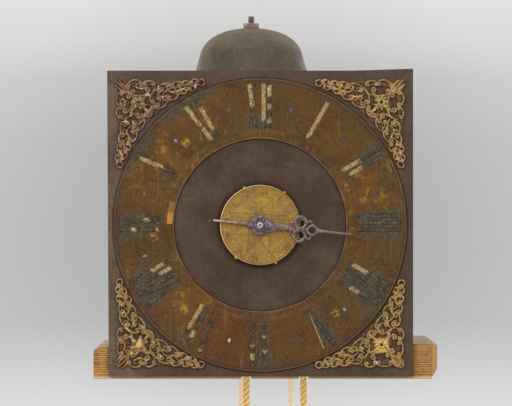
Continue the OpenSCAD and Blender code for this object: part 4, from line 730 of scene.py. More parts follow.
def rope_skin(path, d, pitch, start_turn=0.0):
    """Three strands as one skin about a path. Radius is R (0.83 + 0.17 |cos(3 (a + turn) / 2)|^0.55), and
    turn grows by one whole turn each pitch, so that the strands climb to the right. Gives the shape, the
    painted shade between the strands at each point, and the length."""
    side, out = carried_frame(path)
    length = np.concatenate([[0], np.cumsum(np.linalg.norm(np.diff(path, axis=0), axis=1))])
    a = around(30)
    bulge = abs(cos(1.5 * (a + start_turn + TURN / pitch * length[:, None]))) ** 0.55
    r = d / 2 * (0.83 + 0.17 * bulge)[..., None]
    rings = path[:, None] + r * (cos(a)[:, None] * side[:, None] + sin(a)[:, None] * out[:, None])
    return skin(rings), clip(1.6 - 2.3 * bulge, 0, 1), float(length[-1])


def make_knot(name, x, y, slot, d, pitch):
    """An overhand knot under a rope's light end, on the curve (t^3 - 3t, t^5 - 10t, t^4 - 4t^2) with its two
    ends drawn in to the rope's own line."""
    end, wide, deep, tall = 2.06, 1.75, 1.35, 0.62
    t = np.linspace(-end, end, 150)
    drawn_in = clip((end - abs(t)) / 0.5, 0, 1) ** 0.8
    k = d / 5.5
    path = np.column_stack([x + (t ** 3 - 3 * t) * wide * k * drawn_in,
                            y + (t ** 4 - 4 * t ** 2 + 2) * deep * k * drawn_in,
                            KNOT_TOP + 0.5 - (t ** 5 - 10 * t + 16.5) * tall * k])
    shape, hollow, _ = rope_skin(path, d * 0.86, pitch * 0.86)
    return place(name, shape, slot, "rope_knots", hollow=hollow)


def declare_rope(name, route, kind, turn=0.0):
    """A laid rope along a route, in place of the plain one of that name."""
    slot, d, pitch = kind
    path = fine_path(route, d / 5)
    shape, hollow, length = rope_skin(path, d, pitch, turn)
    piece = place(name + "_laid", shape, slot, name, hollow=hollow)
    length * MM


going_knot = make_knot("going_rope_knot", 37, GOING_Y, *GOING)
strike_knot = make_knot("strike_rope_knot", 26.7, STRIKE_Y, *STRIKE)
going_half = [(-11.5, 88.6), (-10.7, 94.7), (-8.4, 100.4), (-4.6, 105.2), (0.2, 109), (5.9, 111.3),
              (12, 112.1)]
strike_half = [(-16.7, 88.6), (-16, 94.2), (-13.8, 99.5), (-10.3, 103.9), (-5.8, 107.4), (-0.6, 109.6),
               (5, 110.3)]
going_light = (35.5, 35.5, 35.6, 35.8, 36, 36.2, 36.4, 36.6, 36.8, 37)
declare_rope("going_rope_wrap", over(going_half, GOING_Y), GOING)
declare_rope("going_rope_left", run([-11.5] * 10, GOING_Y, HOOK_TOP), GOING, 0.4)
declare_rope("going_rope_right", run(going_light, GOING_Y, KNOT_TOP), GOING, 1.1)
declare_rope("strike_rope_wrap", over(strike_half, STRIKE_Y), STRIKE)
declare_rope("strike_rope_left", run([-16.7] * 10, STRIKE_Y, HOOK_TOP), STRIKE, 0.9)
declare_rope("strike_rope_right", run([26.7] * 10, STRIKE_Y, KNOT_TOP), STRIKE, 0.2)


# Bell and its nut
def bell_radius(depth, r, dome):
    """Radius = r (1 - (1 - depth/dome)^p)^(1/p) over the dome, plus a flare that grows with depth."""
    u = clip(1 - depth / dome, 0, 1)
    return r * (1 - u ** DOME_POWER) ** (1 / DOME_POWER) + FLARE * depth


def make_bell():
    """Outside, lip and inside of the bell as one profile turned about its stand."""
    s = np.linspace(0, 1, 40)[1:] ** 1.8 * BELL_H
    t = s[::-1] * (BELL_H - BELL_T) / BELL_H
    outer = np.stack([bell_radius(s, BELL_R, DOME_H), CROWN_Z - s], -1)
    inner = np.stack([bell_radius(t, BELL_R - BELL_T, DOME_H - BELL_T), CROWN_Z - BELL_T - t], -1)
    lip_r, lip_z = outer[-1]
    lip = [[lip_r + 0.25, lip_z + 0.3], [lip_r + 0.1, lip_z], [lip_r - 1.4, lip_z]]
    top, under = [STUD_R, CROWN_Z], CROWN_Z - BELL_T
    profile = np.vstack([top, outer, lip, inner, [5.1, under], [STUD_R, under], top])
    place("bell_skin", turned(profile, (BELL_X, 0, 0), 144, "z", False), "bell_metal", "bell")


def make_nut():
    """Square nut with its top corners turned off: a square ring whose height falls outside a circle."""
    half, low, high = 6.8, CROWN_Z + 0.05, CROWN_Z + 4.25
    t = around(64)
    square = half / np.maximum(abs(cos(t)), abs(sin(t)))
    grid = []
    for widest, z in ((STUD_R, low), (9.1, low), (9.1, high - 0.9), (7.6, high - 0.25), (6.7, high),
                      (STUD_R, high), (STUD_R, low)):
        r = np.minimum(square, widest)
        fall = np.maximum(0, r - half) * (0.35 if z > low else 0)
        grid.append(np.stack([r * cos(t) + BELL_X, r * sin(t), z - fall], -1))
    place("bell_nut_worn", skin(np.array(grid), False), "blued_iron", "bell_nut", crease=40)


def make_thread():
    """Screw thread on the stud: radius is a saw of (height / pitch - angle / turn)."""
    pitch, z0, z1 = 0.9, CROWN_Z + 4.3, CROWN_Z + 10.1
    z, a = np.linspace(z0, z1, 66)[:, None], around(36)
    r = STUD_R + 0.26 * abs(2 * ((z / pitch - a / TURN) % 1) - 1) * clip((z1 - z) / 0.8, 0, 1)
    place("bell_stud_thread", skin(np.stack([r * cos(a) + BELL_X, r * sin(a), z + 0 * r], -1)), "blued_iron")


make_bell()
make_nut()
make_thread()


# Board
def board_top(x):
    """Height of the board's upper edge: level, then hewn lower towards the left end."""
    return BOARD_TOP - 4.0 * clip((BOARD_LEFT + 26 - x) / 24.4, 0, 1)


def make_saw_marks():
    """Sawn faces at both ends of the board. They stand out by proud - deep groove, with a groove at every
    pitch of height, whose course wavers along the board."""
    proud, deep, pitch = 0.34, 0.3, 1.9
    parts, kerfs = [], []
    for x0, x1, seed in ((BOARD_LEFT + 0.5, -126.4, 1.0), (125.6, BOARD_RIGHT - 4.6, 2.3)):
        x = np.linspace(x0, x1, 40) + np.zeros((170, 1))
        z = 0.5 + np.linspace(0, 1, 170)[:, None] * (board_top(x) - 1.1)
        course = z + 0.12 * sin(0.9 * x + seed) + 0.08 * sin(2.3 * x + 3 * z) + 0.35 * sin(0.21 * z + seed)
        groove = clip(1.55 - 1.9 * abs(sin(pi * course / pitch)), 0, 1)
        groove *= 0.75 + 0.25 * sin(0.9 * x + 1.3 * z + seed) * sin(0.51 * z + 2 * seed)
        band = clip((z - 16 - 3 * sin(0.4 * x)) / 3, 0, 1)
        groove *= 0.7 + 0.3 * (band if seed < 2 else 1 - band)
        parts.append(sheet(np.stack([x, BOARD_FRONT - proud + deep * groove, z], -1),
                           np.stack([x, BOARD_FRONT + 0.05 + 0 * x, z], -1)))
        kerfs.append(np.tile(groove.ravel(), 2))
    kerf = np.concatenate(kerfs)
    place("board_saw_marks", join_parts(parts), "pine", kerf=kerf, sawn=np.ones(len(kerf)))


make_saw_marks()
# Width of the bevel that wear has left on an edge, and the pieces that have it
WORN_EDGES = (
    (0.3, ("dial_plate", "back_cock", "alarm_bracket", "hammer", "bell_stand")),
    (0.4, ("bottom_plate", "top_plate", "front_bar", "middle_bar", "back_bar", "post_nuts")),
    (0.5, ("seatboard",)), (0.7, ("corner_posts",)))
for width, names in WORN_EDGES:
    for name in names:
        bevel = NODES[name].modifiers.new("bevel", "BEVEL")
        bevel.width, bevel.segments, bevel.harden_normals = width * MM, 2, False
        bevel.limit_method, bevel.angle_limit = "ANGLE", math.radians(35)


# Dial: numerals, disc and hand
# Widths of an engraved stroke, the step from one to the next, its foot and head from the hand's axis, and the
# degrees of one lean
STROKE, THIN, STEP, FOOT, HEAD, LEAN = 3.8, 1.292, 5.9, 80.5, 117.5, 8.0
# Each hour's strokes: place in steps, lean, thin or not, then where bare metal shows, from the foot (0)
# to the head (1)
NUMERALS = [
    [(-1.1, 1, 0, (0.45, 1)), (-1.1, -1, 1), (0.5, 0, 0, (0.16, 1.1)),
     (1.3, 0, 0, (0.1, 0.22), (0.42, 0.56), (0.7, 0.96))],
    [(-0.35, 0, 0, (0.05, 0.98))],
    [(-0.85, 0, 0, (0.02, 0.5)), (0.15, 0, 0, (0.12, 0.45))],
    [(-1.3, 0, 0), (-0.35, 0, 0, (0.5, 0.53)), (0.65, 0, 0)],
    [(-1.7, 0, 0, (0.06, 0.45)), (-0.7, 0, 0), (0.3, 0, 0), (1.3, 0, 0, (0.26, 0.5))],
    [(-0.25, 1, 0), (0.55, -1, 1, (0.1, 0.95))],
    [(-0.6, 0.4, 0, (0.3, 0.36), (0.62, 0.7)), (0.1, -1, 1), (1.08, 0, 0, (0.5, 0.56), (0.7, 0.86))],
    [(-1.1, 1, 0, (0.9, 0.96)), (-0.35, -1, 1), (0.55, 0, 0, (0.62, 0.78)), (1.45, 0, 0, (0, 0.64))],
    [(-1.5, 1, 0), (-0.75, -1, 1), (0.1, 0, 0), (1.1, 0, 0, (0.02, 0.33)), (2.05, 0, 0, (0.11, 0.46))],
    [(-0.65, 0, 0, (0.1, 0.16), (0.6, 0.72)), (0.6, 1, 0, (0.3, 0.44)), (0.6, -1, 1)],
    [(0.05, 1, 0, (0.34, 0.92)), (0.05, -1, 1)],
    [(-0.35, 1, 0, (0, 0.36), (0.4, 0.96)), (-0.35, -1, 1), (0.98, 0, 0, (0.2, 0.78))]]


def stroke_floor(hour, place_at, lean, thin, *bare):
    """The wax in one engraved stroke, a little below the ring's face: a strip that leans about its middle,
    with low waves, and a flat back. Then how bare the metal is at each point, 1 inside the given
    stretches."""
    t = np.linspace(0, 1, 46)[:, None] + np.zeros(6)
    w = np.linspace(-0.5, 0.5, 6) * ((THIN if thin else STROKE) - 0.05) + 0 * t
    a = math.radians(lean * LEAN)
    along = (t - 0.5) * (HEAD - FOOT - 0.04)
    u = place_at * STEP + w * cos(a) - along * sin(a)
    v = (FOOT + HEAD) / 2 + w * sin(a) + along * cos(a)
    wave = 0.05 * (sin(19 * t + 3 * w + hour) + sin(37 * t - 5 * w + 2 * hour))
    turn, y = math.radians(-30 * hour), RING_FRONT + 0.2
    ragged = 0.02 * sin(40 * w + 7 * hour)
    shown = 0 * t
    for lo, hi in bare:
        shown = np.maximum(shown, clip((t - lo - ragged) / 0.02, 0, 1) * clip((hi + ragged - t) / 0.02, 0, 1))
    return sheet(on_dial(u, v, y + wave, turn), on_dial(u, v, y + 0.3, turn)), np.tile(shown.ravel(), 2)


def make_numeral_floors():
    """The worn wax of every engraved stroke."""
    floors = [stroke_floor(hour, *stroke) for hour, strokes in enumerate(NUMERALS) for stroke in strokes]
    place("numeral_wax", join_parts([shape for shape, _ in floors]), "ring_brass", look="groove_wax",
          bare=np.concatenate([shown for _, shown in floors]))


def make_disc_marks():
    """Small hour strokes near the alarm disc's rim, an eight-pointed star, four small rings, and a bead on
    the rim."""
    y = DISC_FRONT + 0.02
    parts = []
    for hour, strokes in enumerate(NUMERALS):
        for place_at, tilt, thin, *_ in strokes:
            lean = math.tan(math.radians(tilt * 14)) * 2.5
            u = place_at * 1.75 + np.array([lean, -lean])
            path = on_dial(u, np.array([25.4, 30.4]), y, math.radians(-30 * hour - 8))
            parts.append(tube(path, 0.2 if thin else 0.38, 6, 0.25))
    star_r, ring_at, ring_r = 23.6, 28, 1.5
    star = np.radians(19 + 45 * np.arange(8))
    for ends in np.stack([star, np.roll(star, -3)], -1):
        parts.append(tube(on_dial(star_r * cos(ends), star_r * sin(ends), y), 0.24, 6, 0.2))
    a = np.linspace(0, TURN, 15)
    for turn in np.radians((172, 199, 316, 101)):
        u, v = ring_at * cos(turn) + ring_r * cos(a), ring_at * sin(turn) + ring_r * sin(a)
        parts.append(tube(on_dial(u, v, y), 0.3, 6, 0.2))
    place("disc_hours", join_parts(parts), "disc_brass", body="alarm_setting", look="disc_ink")
    bead = [(32.2, 0.1), (32.3, -0.22), (32.8, -0.32), (DISC_R, -0.15), (33.26, 0.2), (DISC_R, 0.5),
            (32.2, 0.5), (32.2, 0.1)]
    bead = turned(bead, (HOUR[0], DISC_FRONT, HOUR[1]), 144, ends=False)
    place("disc_bead", bead, "disc_brass", body="alarm_setting")


def hand_bar(stations, sides=12):
    """A lens-shaped bar along the hand. Each station is (along, half width, thickness), and goes round as
    half width times cos a across, and as half the thickness times |sin a|^0.7 out and back."""
    along, half, thick = np.asarray(stations, float).T[..., None]
    a = around(sides)
    y = HAND_BACK - 0.5 * thick - 0.5 * thick * np.sign(sin(a)) * abs(sin(a)) ** 0.7
    return skin(on_dial(along + 0 * a, half * cos(a), y, HAND_TURN))


def hand_loop(cx, cy, r, w, squash=0.0):
    """A ring of lens section about a place on the hand: radius r + w cos a, depth by sin a. squash pulls its
    back into a point, by the power 1.5 of -cos t, times |sin t|."""
    half_thick = 0.85
    t, a = around(40)[:, None], around(10)
    pull = 1 - squash * clip(-cos(t), 0, 1) ** 1.5 * abs(sin(t))
    rr = r + w * cos(a)
    y = HAND_BACK - half_thick - half_thick * sin(a) + 0 * t
    points = on_dial(cx + rr * cos(t), cy + rr * sin(t) * pull, y, HAND_TURN)
    return points.reshape(-1, 3), grid_faces(40, 10, looped=True).tolist()


def make_hand():
    """Tail, boss, neck, two side loops, a teardrop loop and the pointer, all of lens section. The boss is
    round with its radius at the back, and its half width falls to the neck's as a power of what is left of
    the way."""
    radius, neck_half, neck_from, neck_to = 8.1, 1.8, 2, 24
    s = np.linspace(-radius, neck_to, 34)
    narrowing = (radius - neck_half) * clip(1 - (s - neck_from) / (neck_to - neck_from), 0, 1) ** 1.7
    swell = np.where(s < neck_from, np.sqrt(clip(radius ** 2 - s ** 2, 0.1, None)), neck_half + narrowing)
    tail = [(-39.3, 0.5, 0.8), (-38.0, 0.9, 1.2), (-24, 1.05, 1.4), (-12, 1.35, 1.5), (-8, 2.2, 1.5),
            (-5, 3.4, 1.5)]
    neck = [(23, 1.9, 1.6), (25, 1.6, 1.6), (28, 1.1, 1.6), (33, 0.7, 1.6), (39, 0.9, 1.6)]
    pointer = [(46.5, 2.6, 1.6), (49, 1.9, 1.6), (52, 1.35, 1.5), (62, 1.0, 1.3), (72, 0.7, 1.1),
               (78, 0.45, 0.9), (79, 0.2, 0.6)]
    boss = np.stack([s, swell, np.full(34, 1.6)], -1)
    parts = [hand_bar(tail), hand_bar(boss, 20), hand_bar(neck), hand_bar(pointer)]
    for side in (-1, 1):
        parts += [hand_loop(33, side * 5.5, 4.75, 1.3), hand_loop(26.8, side * 3.2, 1.7, 0.8)]
        a = np.linspace(-0.5, 3.6, 14)
        r = 3.4 - 0.55 * a
        path = on_dial(34.2 + r * cos(a), side * (5.6 + r * sin(a)), HAND_BACK - 0.7, HAND_TURN)
        parts.append(tube(path, np.linspace(0.7, 0.4, 14)))
        a = np.linspace(0, pi * 1.1, 12)
        path = on_dial(40.6 + 1.7 * cos(a), side * (5.6 + 1.9 * sin(a)), HAND_BACK - 0.85, HAND_TURN)
        parts.append(tube(path, np.linspace(1.0, 0.55, 12)))
    parts += [hand_loop(43, 0, 3.95, 1.15, 0.45), hand_loop(26.5, 0, 1.75, 0.9)]
    place("hour_hand_forged", join_parts(parts), "blued_iron", "hour_hand", body="hour_work")


def make_stud_end():
    """Collar at the stud's end, with a drilled centre."""
    ring = [(1.92, 2.2), (2.35, 1.9), (2.5, 0.5), (2.2, -0.1), (1.6, -0.2), (1.2, 0), (1.0, 0.02)]
    place("stud_collar", turned(ring, (HOUR[0], STUD_FRONT, HOUR[1]), 40), "blued_iron")


make_numeral_floors()
make_disc_marks()
make_hand()
make_stud_end()


# Spandrels, in (u, v) from the plate's corner
# A leg's distance from the plate's edge, the grid's step, the flower's place, and the arcs round the dial
# that the web and the lines keep outside of
LEG_FOOT, CELL, FLOWER, WEB_ARC, LINE_ARC = 6.9, 0.42, 26.4, 123.2, 123.6


def spiral(centre, r0, r1, start, turns, hand=1):
    """Points about a centre whose radius goes evenly from r0 to r1 while the angle makes some turns."""
    t = np.linspace(0, 1, int(12 + 18 * turns))
    a = math.radians(start) + hand * TURN * turns * t
    r = r0 + (r1 - r0) * t
    return np.stack([centre[0] + r * cos(a), centre[1] + r * sin(a)], -1)


def c_scroll(p, q, bulge, curl):
    """A bow from p to q that rises by bulge at its middle (a parabola), and rolls up into a spiral at each
    end."""
    p, q = np.asarray(p, float), np.asarray(q, float)
    d = q - p
    side = np.array([-d[1], d[0]]) / np.linalg.norm(d)
    t = np.linspace(0, 1, 14)[:, None]
    bow = p + d * t + side * bulge * 4 * t * (1 - t)

    def roll(at, heading, hand):
        """The spiral that goes on from a place along a heading, towards one hand."""
        heading = heading / np.linalg.norm(heading)
        centre = at + np.array([-heading[1], heading[0]]) * hand * curl
        start = math.degrees(math.atan2(*(at - centre)[::-1]))
        return spiral(centre, curl, 0.25 * curl, start, 1.1, hand)

    hand = -1 if bulge > 0 else 1
    rise = side * 4 * bulge
    return np.vstack([roll(p, -(d + rise), -hand)[::-1], bow, roll(q, d - rise, hand)])


def leaf(p, q, bend):
    """A bowed line from p to q, moved sideways by bend times its length times the sine of half a turn along
    it."""
    p, q = np.asarray(p, float), np.asarray(q, float)
    t = np.linspace(0, 1, 14)[:, None]
    d = q - p
    return p + d * t + np.array([-d[1], d[0]]) * bend * sin(pi * t)


def inner_limit(u):
    """How far from the plate's edge a line may reach at u: where an arc round the dial passes."""
    return DIAL_HALF - np.sqrt(np.maximum(LINE_ARC ** 2 - (DIAL_HALF - u) ** 2, 0))


def on_leg(u, share):
    """A place on a leg: u from the corner, and a share of the way from the plate's margin to the ring."""
    return np.array([u, LEG_FOOT + share * (inner_limit(u) - LEG_FOOT)])


def corner_strokes(kind, rng):
    """Raised lines of one corner as (path, half width, height): one leg, its mirror, and what the legs share.
    Each line is shaken a little by a wave, and its width and height are drawn at random."""
    leg = []
    for a, b in ((42, 50.5), (52, 59.5), (61, 67), (68.5, 74)):
        room = inner_limit(a) - LEG_FOOT
        leg += [(c_scroll(on_leg(a, 0.8), on_leg(b, 0.78), 1.7, 0.2 * room ** 0.75), 0.95, 1.35),
                (c_scroll(on_leg(b + 1, 0.2), on_leg(a + 1, 0.2), 1.2, 0.17 * room ** 0.8), 0.9, 1.3),
                (leaf(on_leg(a - 1, 0.42), on_leg(b, 0.58), 0.16), 1.25, 1.1),
                (leaf(on_leg(a + 3, 0.62), on_leg(b + 3, 0.4), -0.2), 0.8, 1.2)]
    leg += [(spiral((78.0, 10.2), 2.7, 2.5, 150, 1.0), 1.0, 1.45),
            (leaf(on_leg(71, 0.6), (76.6, 8.2), 0.2), 0.9, 1.2),
            (c_scroll((18, 10.3), (29, 9.8), -1.9, 1.8), 0.95, 1.3),
            (c_scroll((39, 9.6), (30.5, 9.9), 1.5, 1.7), 0.95, 1.3),
            (c_scroll((20.5, 20), (34.5, 17.2), 2.6, 2.3), 1.05, 1.4),
            (c_scroll((42, 15.2), (36, 25.5), 1.8, 2.1), 1.0, 1.35),
            (leaf((29.5, 24.5), (37.6, 20.6), -0.22), 1.3, 1.25),
            (leaf((33, 21), (40, 12.8), 0.25), 1.1, 1.15)]
    open_kind = kind in ("fan", "rose")
    if not open_kind:
        leg.append((leaf((22, 13.5), (32, 13.6), 0.14), 1.2, 1.05))
    leg.append((c_scroll((44.5, 23.5), (38.2, 31.2), -1.4, 1.7), 0.9, 1.3))
    rows = leg + [(path[:, ::-1], w, h) for path, w, h in leg]
    rows += [(c_scroll((33.2, 38.2), (38.2, 33.2), 1.6, 1.9), 1.0, 1.4),
             (leaf((30.5, 30.5), (36.2, 36.2), 0.0), 1.7, 1.5)]
    for a in np.linspace(-0.62, 0.62, 6 if open_kind else 4):
        tip = np.array([7.8, 7.8]) + 7.6 * abs(a) * np.array([a > 0, a < 0])
        rows.append((leaf((18.2, 18.2), tip, 0.22 * a), 1.15, 1.45))
    petals = {"fan": 9, "dense": 7, "flower": 6, "rose": 12}[kind]
    for a in around(petals) + 0.3:
        way = np.array([cos(a), sin(a)])
        reach = 7.4 if kind == "flower" else 5.9
        rows.append((leaf(FLOWER + 2.2 * way, FLOWER + reach * way, 0.12), 14 / petals * 0.82, 1.35))
    if kind == "dense":
        rows += [(c_scroll((13, 19), (19, 13), 1.4, 1.5), 0.9, 1.3),
                 (spiral((13.5, 26), 3.4, 0.8, 40, 1.3), 0.9, 1.3),
                 (spiral((26, 13.5), 3.4, 0.8, 50, 1.3, -1), 0.9, 1.3)]
    return [(path + 0.45 * sin(path[:, ::-1] * 0.35 + rng.uniform(0, 6, 2)), w * rng.uniform(1.0, 1.24),
             h * rng.uniform(0.92, 1.05)) for path, w, h in rows]


def corner_openings(kind, rng):
    """Holes through the web as ellipses: centre, two half sizes and a turn, for one leg and its mirror."""
    half = [(46.5, 15.5, 1.8, 1.1, 0.3), (56.5, 13.6, 1.6, 0.9, 0.2), (65, 12.0, 1.3, 0.8, 0.1),
            (17.0, 24.5, 2.2, 1.4, 1.2), (35.2, 13.9, 1.5, 0.8, 0.3), (40.5, 20.2, 1.1, 1.5, 0.3),
            (31.2, 34.4, 1.0, 1.5, 0.7), (78.0, 10.2, 1.0, 1.0, 0)]
    if kind in ("fan", "rose"):
        half.append((15.4, 27.5, 2.4, 6.0, 0.05))
    rows = np.array(half)
    rows = np.vstack([rows, rows[:, [1, 0, 3, 2, 4]] * (1, 1, 1, 1, -1)])
    rows[:, :2] += rng.uniform(-0.4, 0.4, (len(rows), 2))
    return rows


def blur(h, reach):
    """Mean of a field over a square of 2 reach + 1 cells, by shifted sums along each way."""
    for axis in (0, 1):
        h = sum(np.roll(h, k, axis) for k in range(-reach, reach + 1)) / (2 * reach + 1)
    return h


def corner_relief(kind, seed):
    """Height and outline of one corner over a grid of (u, v). Height = max over web and lines of
    rise sqrt(1 - (distance / half width)^2), with a moat beside each line. Metal is kept where outline > 0.
    The crest of a line, its moat and the flower's round are given too, for colour."""
    rng = np.random.default_rng(seed)
    g = np.arange(5.9, 82.2, CELL)
    u, v = np.meshgrid(g, g, indexing="ij")
    s, other = np.maximum(u, v), np.minimum(u, v)
    ring = np.hypot(DIAL_HALF - u, DIAL_HALF - v) - WEB_ARC
    outline = np.minimum(np.minimum(other - 8.3, ring - 1.6), 77.5 - s) - 0.8 * abs(sin(s * pi / 5.2))
    for cu, cv, a, b, turn in corner_openings(kind, rng):
        x, y = u - cu, v - cv
        x, y = x * cos(turn) + y * sin(turn), y * cos(turn) - x * sin(turn)
        outline = np.minimum(outline, (np.hypot(x / a, y / b) - 1) * min(a, b))
    height = 1.0 + 0.16 * sin(u * 1.9) * sin(v * 2.3) + 0.1 * sin(3.1 * u + 2.2 * v)
    closest = np.full(u.shape, 9.0)
    for path, w, rise in corner_strokes(kind, rng):
        t = np.linspace(0, 1, len(path))
        wide = w * (0.5 + 0.55 * sin(pi * clip(t, 0.06, 0.94)) ** 0.6)
        (i0, j0), (i1, j1) = np.searchsorted(g, path.min(0) - w - 1), np.searchsorted(g, path.max(0) + w + 1)
        box = np.s_[i0:i1, j0:j1]
        near = np.hypot(u[box][..., None] - path[:, 0], v[box][..., None] - path[:, 1]) / wide
        q = near.min(-1)
        bead = 0.13 * sin(1.9 * near.argmin(-1) + w) * (w > 0.8)
        bump = (rise + bead) * np.sqrt(clip(1 - q * q, 0, 1)) + 0.85 * (q < 1)
        height[box] = np.maximum(height[box], bump)
        outline[box] = np.maximum(outline[box], (1 - q) * w)
        closest[box] = np.minimum(closest[box], q)
    moat = np.exp(-((closest - 1.12) / 0.3) ** 2) * (closest > 0.85)
    height -= 0.5 * moat * (closest > 1)
    outline = np.minimum(np.minimum(outline, other - 6.55), np.minimum(ring - 0.4, 81.3 - s))
    height *= 0.6 + 0.4 * np.sqrt(clip(outline / 0.7, 0, 1))
    flower = clip(1.5 - np.hypot(u - FLOWER, v - FLOWER) / (7.0 if kind == "rose" else 4.5), 0, 1)
    # How far the flower's round is lightened, for wear and for a painted highlight
    worn = {"rose": 0.95, "flower": 0.6}.get(kind, 0.3)
    crest = np.maximum(clip(1.15 - (closest / 0.42) ** 2, 0, 1), flower * clip(1.5 - closest, 0, 1) * worn)
    return u, v, clip(height, 0.2, 2.38), outline, crest, moat, flower


def kept_cells(outline):
    """Cells whose middle is metal, filled in where two of them would touch at one corner only."""
    keep = outline[1:, 1:] + outline[:-1, 1:] + outline[1:, :-1] + outline[:-1, :-1] > 0
    keep[[0, -1]] = keep[:, [0, -1]] = False
    for _ in range(4):
        a, b, c, d = keep[:-1, :-1], keep[1:, 1:], keep[1:, :-1], keep[:-1, 1:]
        cross = (a & b & ~c & ~d) | (~a & ~b & c & d)
        keep[1:, :-1] |= cross
        keep[:-1, :-1] |= cross
    return keep


def make_spandrel(name, sx, sz, kind, seed, gold):
    """One cast corner as a relief over its outline: front skin, flat back and walls around every opening."""
    u, v, height, outline, crest, moat, flower = corner_relief(kind, seed)
    keep = kept_cells(outline)
    n = u.shape[1]
    i, j = np.nonzero(keep)
    cells = np.stack([i * n + j, (i + 1) * n + j, (i + 1) * n + j + 1, i * n + j + 1], -1)
    pad = np.pad(keep, 1)
    walls = np.concatenate([cells[~pad[i + 1 + di, j + 1 + dj]][:, ends] for di, dj, ends in (
        (-1, 0, [0, 3]), (1, 0, [1, 2]), (0, -1, [0, 1]), (0, 1, [3, 2]))])
    gu, gv = np.gradient(outline, CELL)
    rim, used = np.zeros((2, u.size), bool)
    rim[walls.ravel()] = used[cells.ravel()] = True
    pull = clip(-outline / (gu ** 2 + gv ** 2 + 0.05), -0.5 * CELL, 0.5 * CELL) * rim.reshape(u.shape)
    # Painted shade for the hollows: darker in the moats beside the lines, on the low web, and wherever the
    # relief lies below its surroundings
    hollow = clip(0.9 * moat + 0.7 * (blur(height, 3) - height) + 0.5 * (height < 1.32), 0, 1)
    u, v, height, crest, hollow, flower = (
        field.ravel()[used] for field in (u + pull * gu, v + pull * gv, height, crest, hollow, flower))
    x, z = sx * (DIAL_HALF - u), DIAL_MID_Z + sz * (DIAL_HALF - v)
    points = np.vstack([np.column_stack([x, DIAL_FRONT - height, z]),
                        np.column_stack([x, DIAL_FRONT - 0.02 + 0 * x, z])])
    index, k = np.cumsum(used) - 1, len(x)
    front, edge = index[cells], index[walls]
    faces = np.vstack([front, front + k, np.column_stack([edge, edge[:, ::-1] + k])])
    gilt = gold + flower * (0.5 if kind == "rose" else 0.1)
    place(name + "_cast", (points, faces), "cast_brass", name,
          crest=np.tile(crest, 2), cavity=np.tile(hollow, 2), gilt=np.tile(gilt, 2))


def make_screws():
    """A round head at each spandrel's flower: drilled and dished in three of them, and worn flat at the lower
    left."""
    dished = [(0.5, -86.95), (1.0, -87.0), (1.15, -87.6), (1.4, -88.35), (1.9, -88.75), (2.5, -88.95),
              (3.0, -88.6), (3.3, -87.9), (3.35, -87.3), (3.2, -86.2)]
    flat = [(0.4, -88.8), (0.9, -88.81), (1.4, -88.82), (1.8, -88.8), (2.1, -88.75), (2.3, -88.6),
            (2.4, -88.2), (2.5, -87.6), (2.5, -87.0), (2.6, -86.2)]
    corners = ((-1, 1, dished, 0.25, 0.1), (1, 1, dished, 0.45, 0.9), (1, -1, dished, 0.9, 1.3),
               (-1, -1, flat, 1.0, 1.6))
    parts, looks, at = [], [], DIAL_HALF - FLOWER
    for sx, sz, profile, bright, gold in corners:
        parts.append(turned(profile, (sx * at, 0, DIAL_MID_Z + sz * at), 32))
        # The drilled centres are painted near black as shade
        hole = np.repeat([float(profile is dished and r < 1.2) for r, _ in profile], 32)
        looks.append([(1 - hole) * bright, (1 - hole) * gold, hole])
    crest, gilt, cavity = np.concatenate(looks, 1)
    place("spandrel_bosses", join_parts(parts), "cast_brass", "spandrel_screws",
          crest=crest, gilt=gilt, cavity=cavity)


make_spandrel("spandrel_top_left", -1, 1, "dense", 3, 0.12)
make_spandrel("spandrel_top_right", 1, 1, "fan", 5, 0.85)
make_spandrel("spandrel_bottom_left", -1, -1, "flower", 8, 0.6)
make_spandrel("spandrel_bottom_right", 1, -1, "rose", 12, 0.95)
make_screws()


# Floor, backdrop and light
FLOOR_Z, RAMP_TALL = -0.45, 1.25
# The backdrop's tones: share of the ramp's height, then the tone
TONES = [(0.0, (226, 226, 224)), (1.0, (232, 232, 228)), (0.078, (221, 221, 219)),
         (0.153, (206, 207, 206)), (0.236, (191, 192, 191)), (0.376, (191, 192, 192)),
         (0.607, (196, 197, 196)), (0.735, (205, 206, 204)), (0.819, (219, 220, 218)),
         (0.893, (225, 226, 223))]


def seen(t):
    """1 for what the camera, reflections and glass look at, and 0 for light."""
    rays = t.node("LightPath")
    return most(*[t.out(rays, "Is %s Ray" % kind) for kind in ("Camera", "Glossy", "Transmission")])


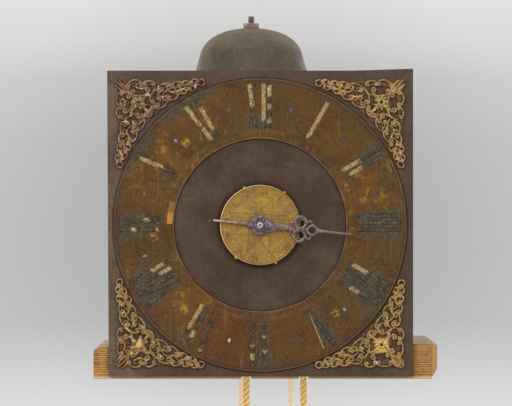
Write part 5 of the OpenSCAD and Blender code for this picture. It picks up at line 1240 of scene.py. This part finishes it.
def stage_finish(name, plain):
    """A pale surface that the camera and reflections see at a given brightness, and lamps light softly. The
    brightness goes by height, and falls a little in a wide soft round behind the object."""
    m = bpy.data.materials.new(name)
    m.use_nodes = True
    m.node_tree.nodes.clear()
    t = Tree(m.node_tree)
    x, _, z = t.split()
    ramp = t.node("ValToRGB", ((z - FLOOR_Z) / RAMP_TALL).unit())
    steps = ramp.color_ramp.elements
    for k, (at, tone) in enumerate(TONES):
        step = steps[k] if k < 2 else steps.new(at)
        step.position, step.color = at, rgb(*tone)
    middle, across, upright, core, fall = 0.188, 1.51, 1.75, 0.55, 0.17
    halo = 1.0 - ((length(x * across, (z - middle) * upright) - core) / core).unit()
    strength = 1.0 - halo * (z > FLOOR_Z + 0.01) * fall
    dull = t.node("BsdfDiffuse", Color=plain)
    glow = t.node("Emission", Color=t.out(ramp), Strength=strength)
    mix = t.node("MixShader", seen(t), t.out(dull), t.out(glow))
    t.node("OutputMaterial", t.out(mix))
    return m


def make_stage():
    """A floor well below the movement, curving up into a tall backdrop behind it."""
    a = np.linspace(0, pi / 2, 16)
    half_wide, bend, start, top = 9.0, 0.9, 4.4, 5.5
    curve = np.stack([start + bend * sin(a), FLOOR_Z + bend * (1 - cos(a))], -1)
    profile = np.vstack([[-half_wide, FLOOR_Z], curve, [start + bend, top]])
    mesh = bpy.data.meshes.new("sweep")
    mesh.from_pydata([(x, y, z) for y, z in profile for x in (-half_wide, half_wide)], [],
                     grid_faces(len(profile), 2, False).tolist())
    mesh.polygons.foreach_set("use_smooth", np.full(len(mesh.polygons), True))
    mesh.materials.append(stage_finish("pale_sweep", rgb(190, 190, 188)))
    link("sweep", mesh)


def make_world(light, shown):
    """An even sky that lights at one strength, and is seen by the camera and in reflections at another
    tone."""
    world = SCENE.world = bpy.data.worlds.new("studio")
    world.use_nodes = True
    t = Tree(world.node_tree)
    lit = t.nodes["Background"]
    lit.inputs["Color"].default_value, lit.inputs["Strength"].default_value = (1, 1, 1, 1), light
    mix = t.node("MixShader", seen(t), t.out(lit), t.out(t.node("Background", Color=shown, Strength=1.0)))
    t.feed(t.nodes["World Output"].inputs["Surface"], t.out(mix))


def lamp(name, place_at, aim_z, size, watts):
    """A square lamp that looks at a height on the object's middle line."""
    data = bpy.data.lights.new(name, "AREA")
    data.shape, data.size, data.energy = "SQUARE", size, watts
    new = link(name, data)
    new.location = place_at
    new.rotation_mode = "QUATERNION"
    new.rotation_quaternion = (Vector((0, 0, aim_z)) - Vector(place_at)).to_track_quat("-Z", "Y")


make_stage()
make_world(0.45, rgb(226, 226, 224))
lamp("key", (-1.1, -1.6, 1.5), 0.13, 1.2, 34)
lamp("fill", (1.5, -1.5, 0.9), 0.13, 1.4, 16)
lamp("top", (0, 0.2, 2.1), 0.1, 1.6, 20)
lamp("back_right", (1.3, 1.3, 0.8), 0.13, 1.0, 17)
lamp("back_left", (-1.4, 1.1, 0.6), 0.13, 1.0, 13)
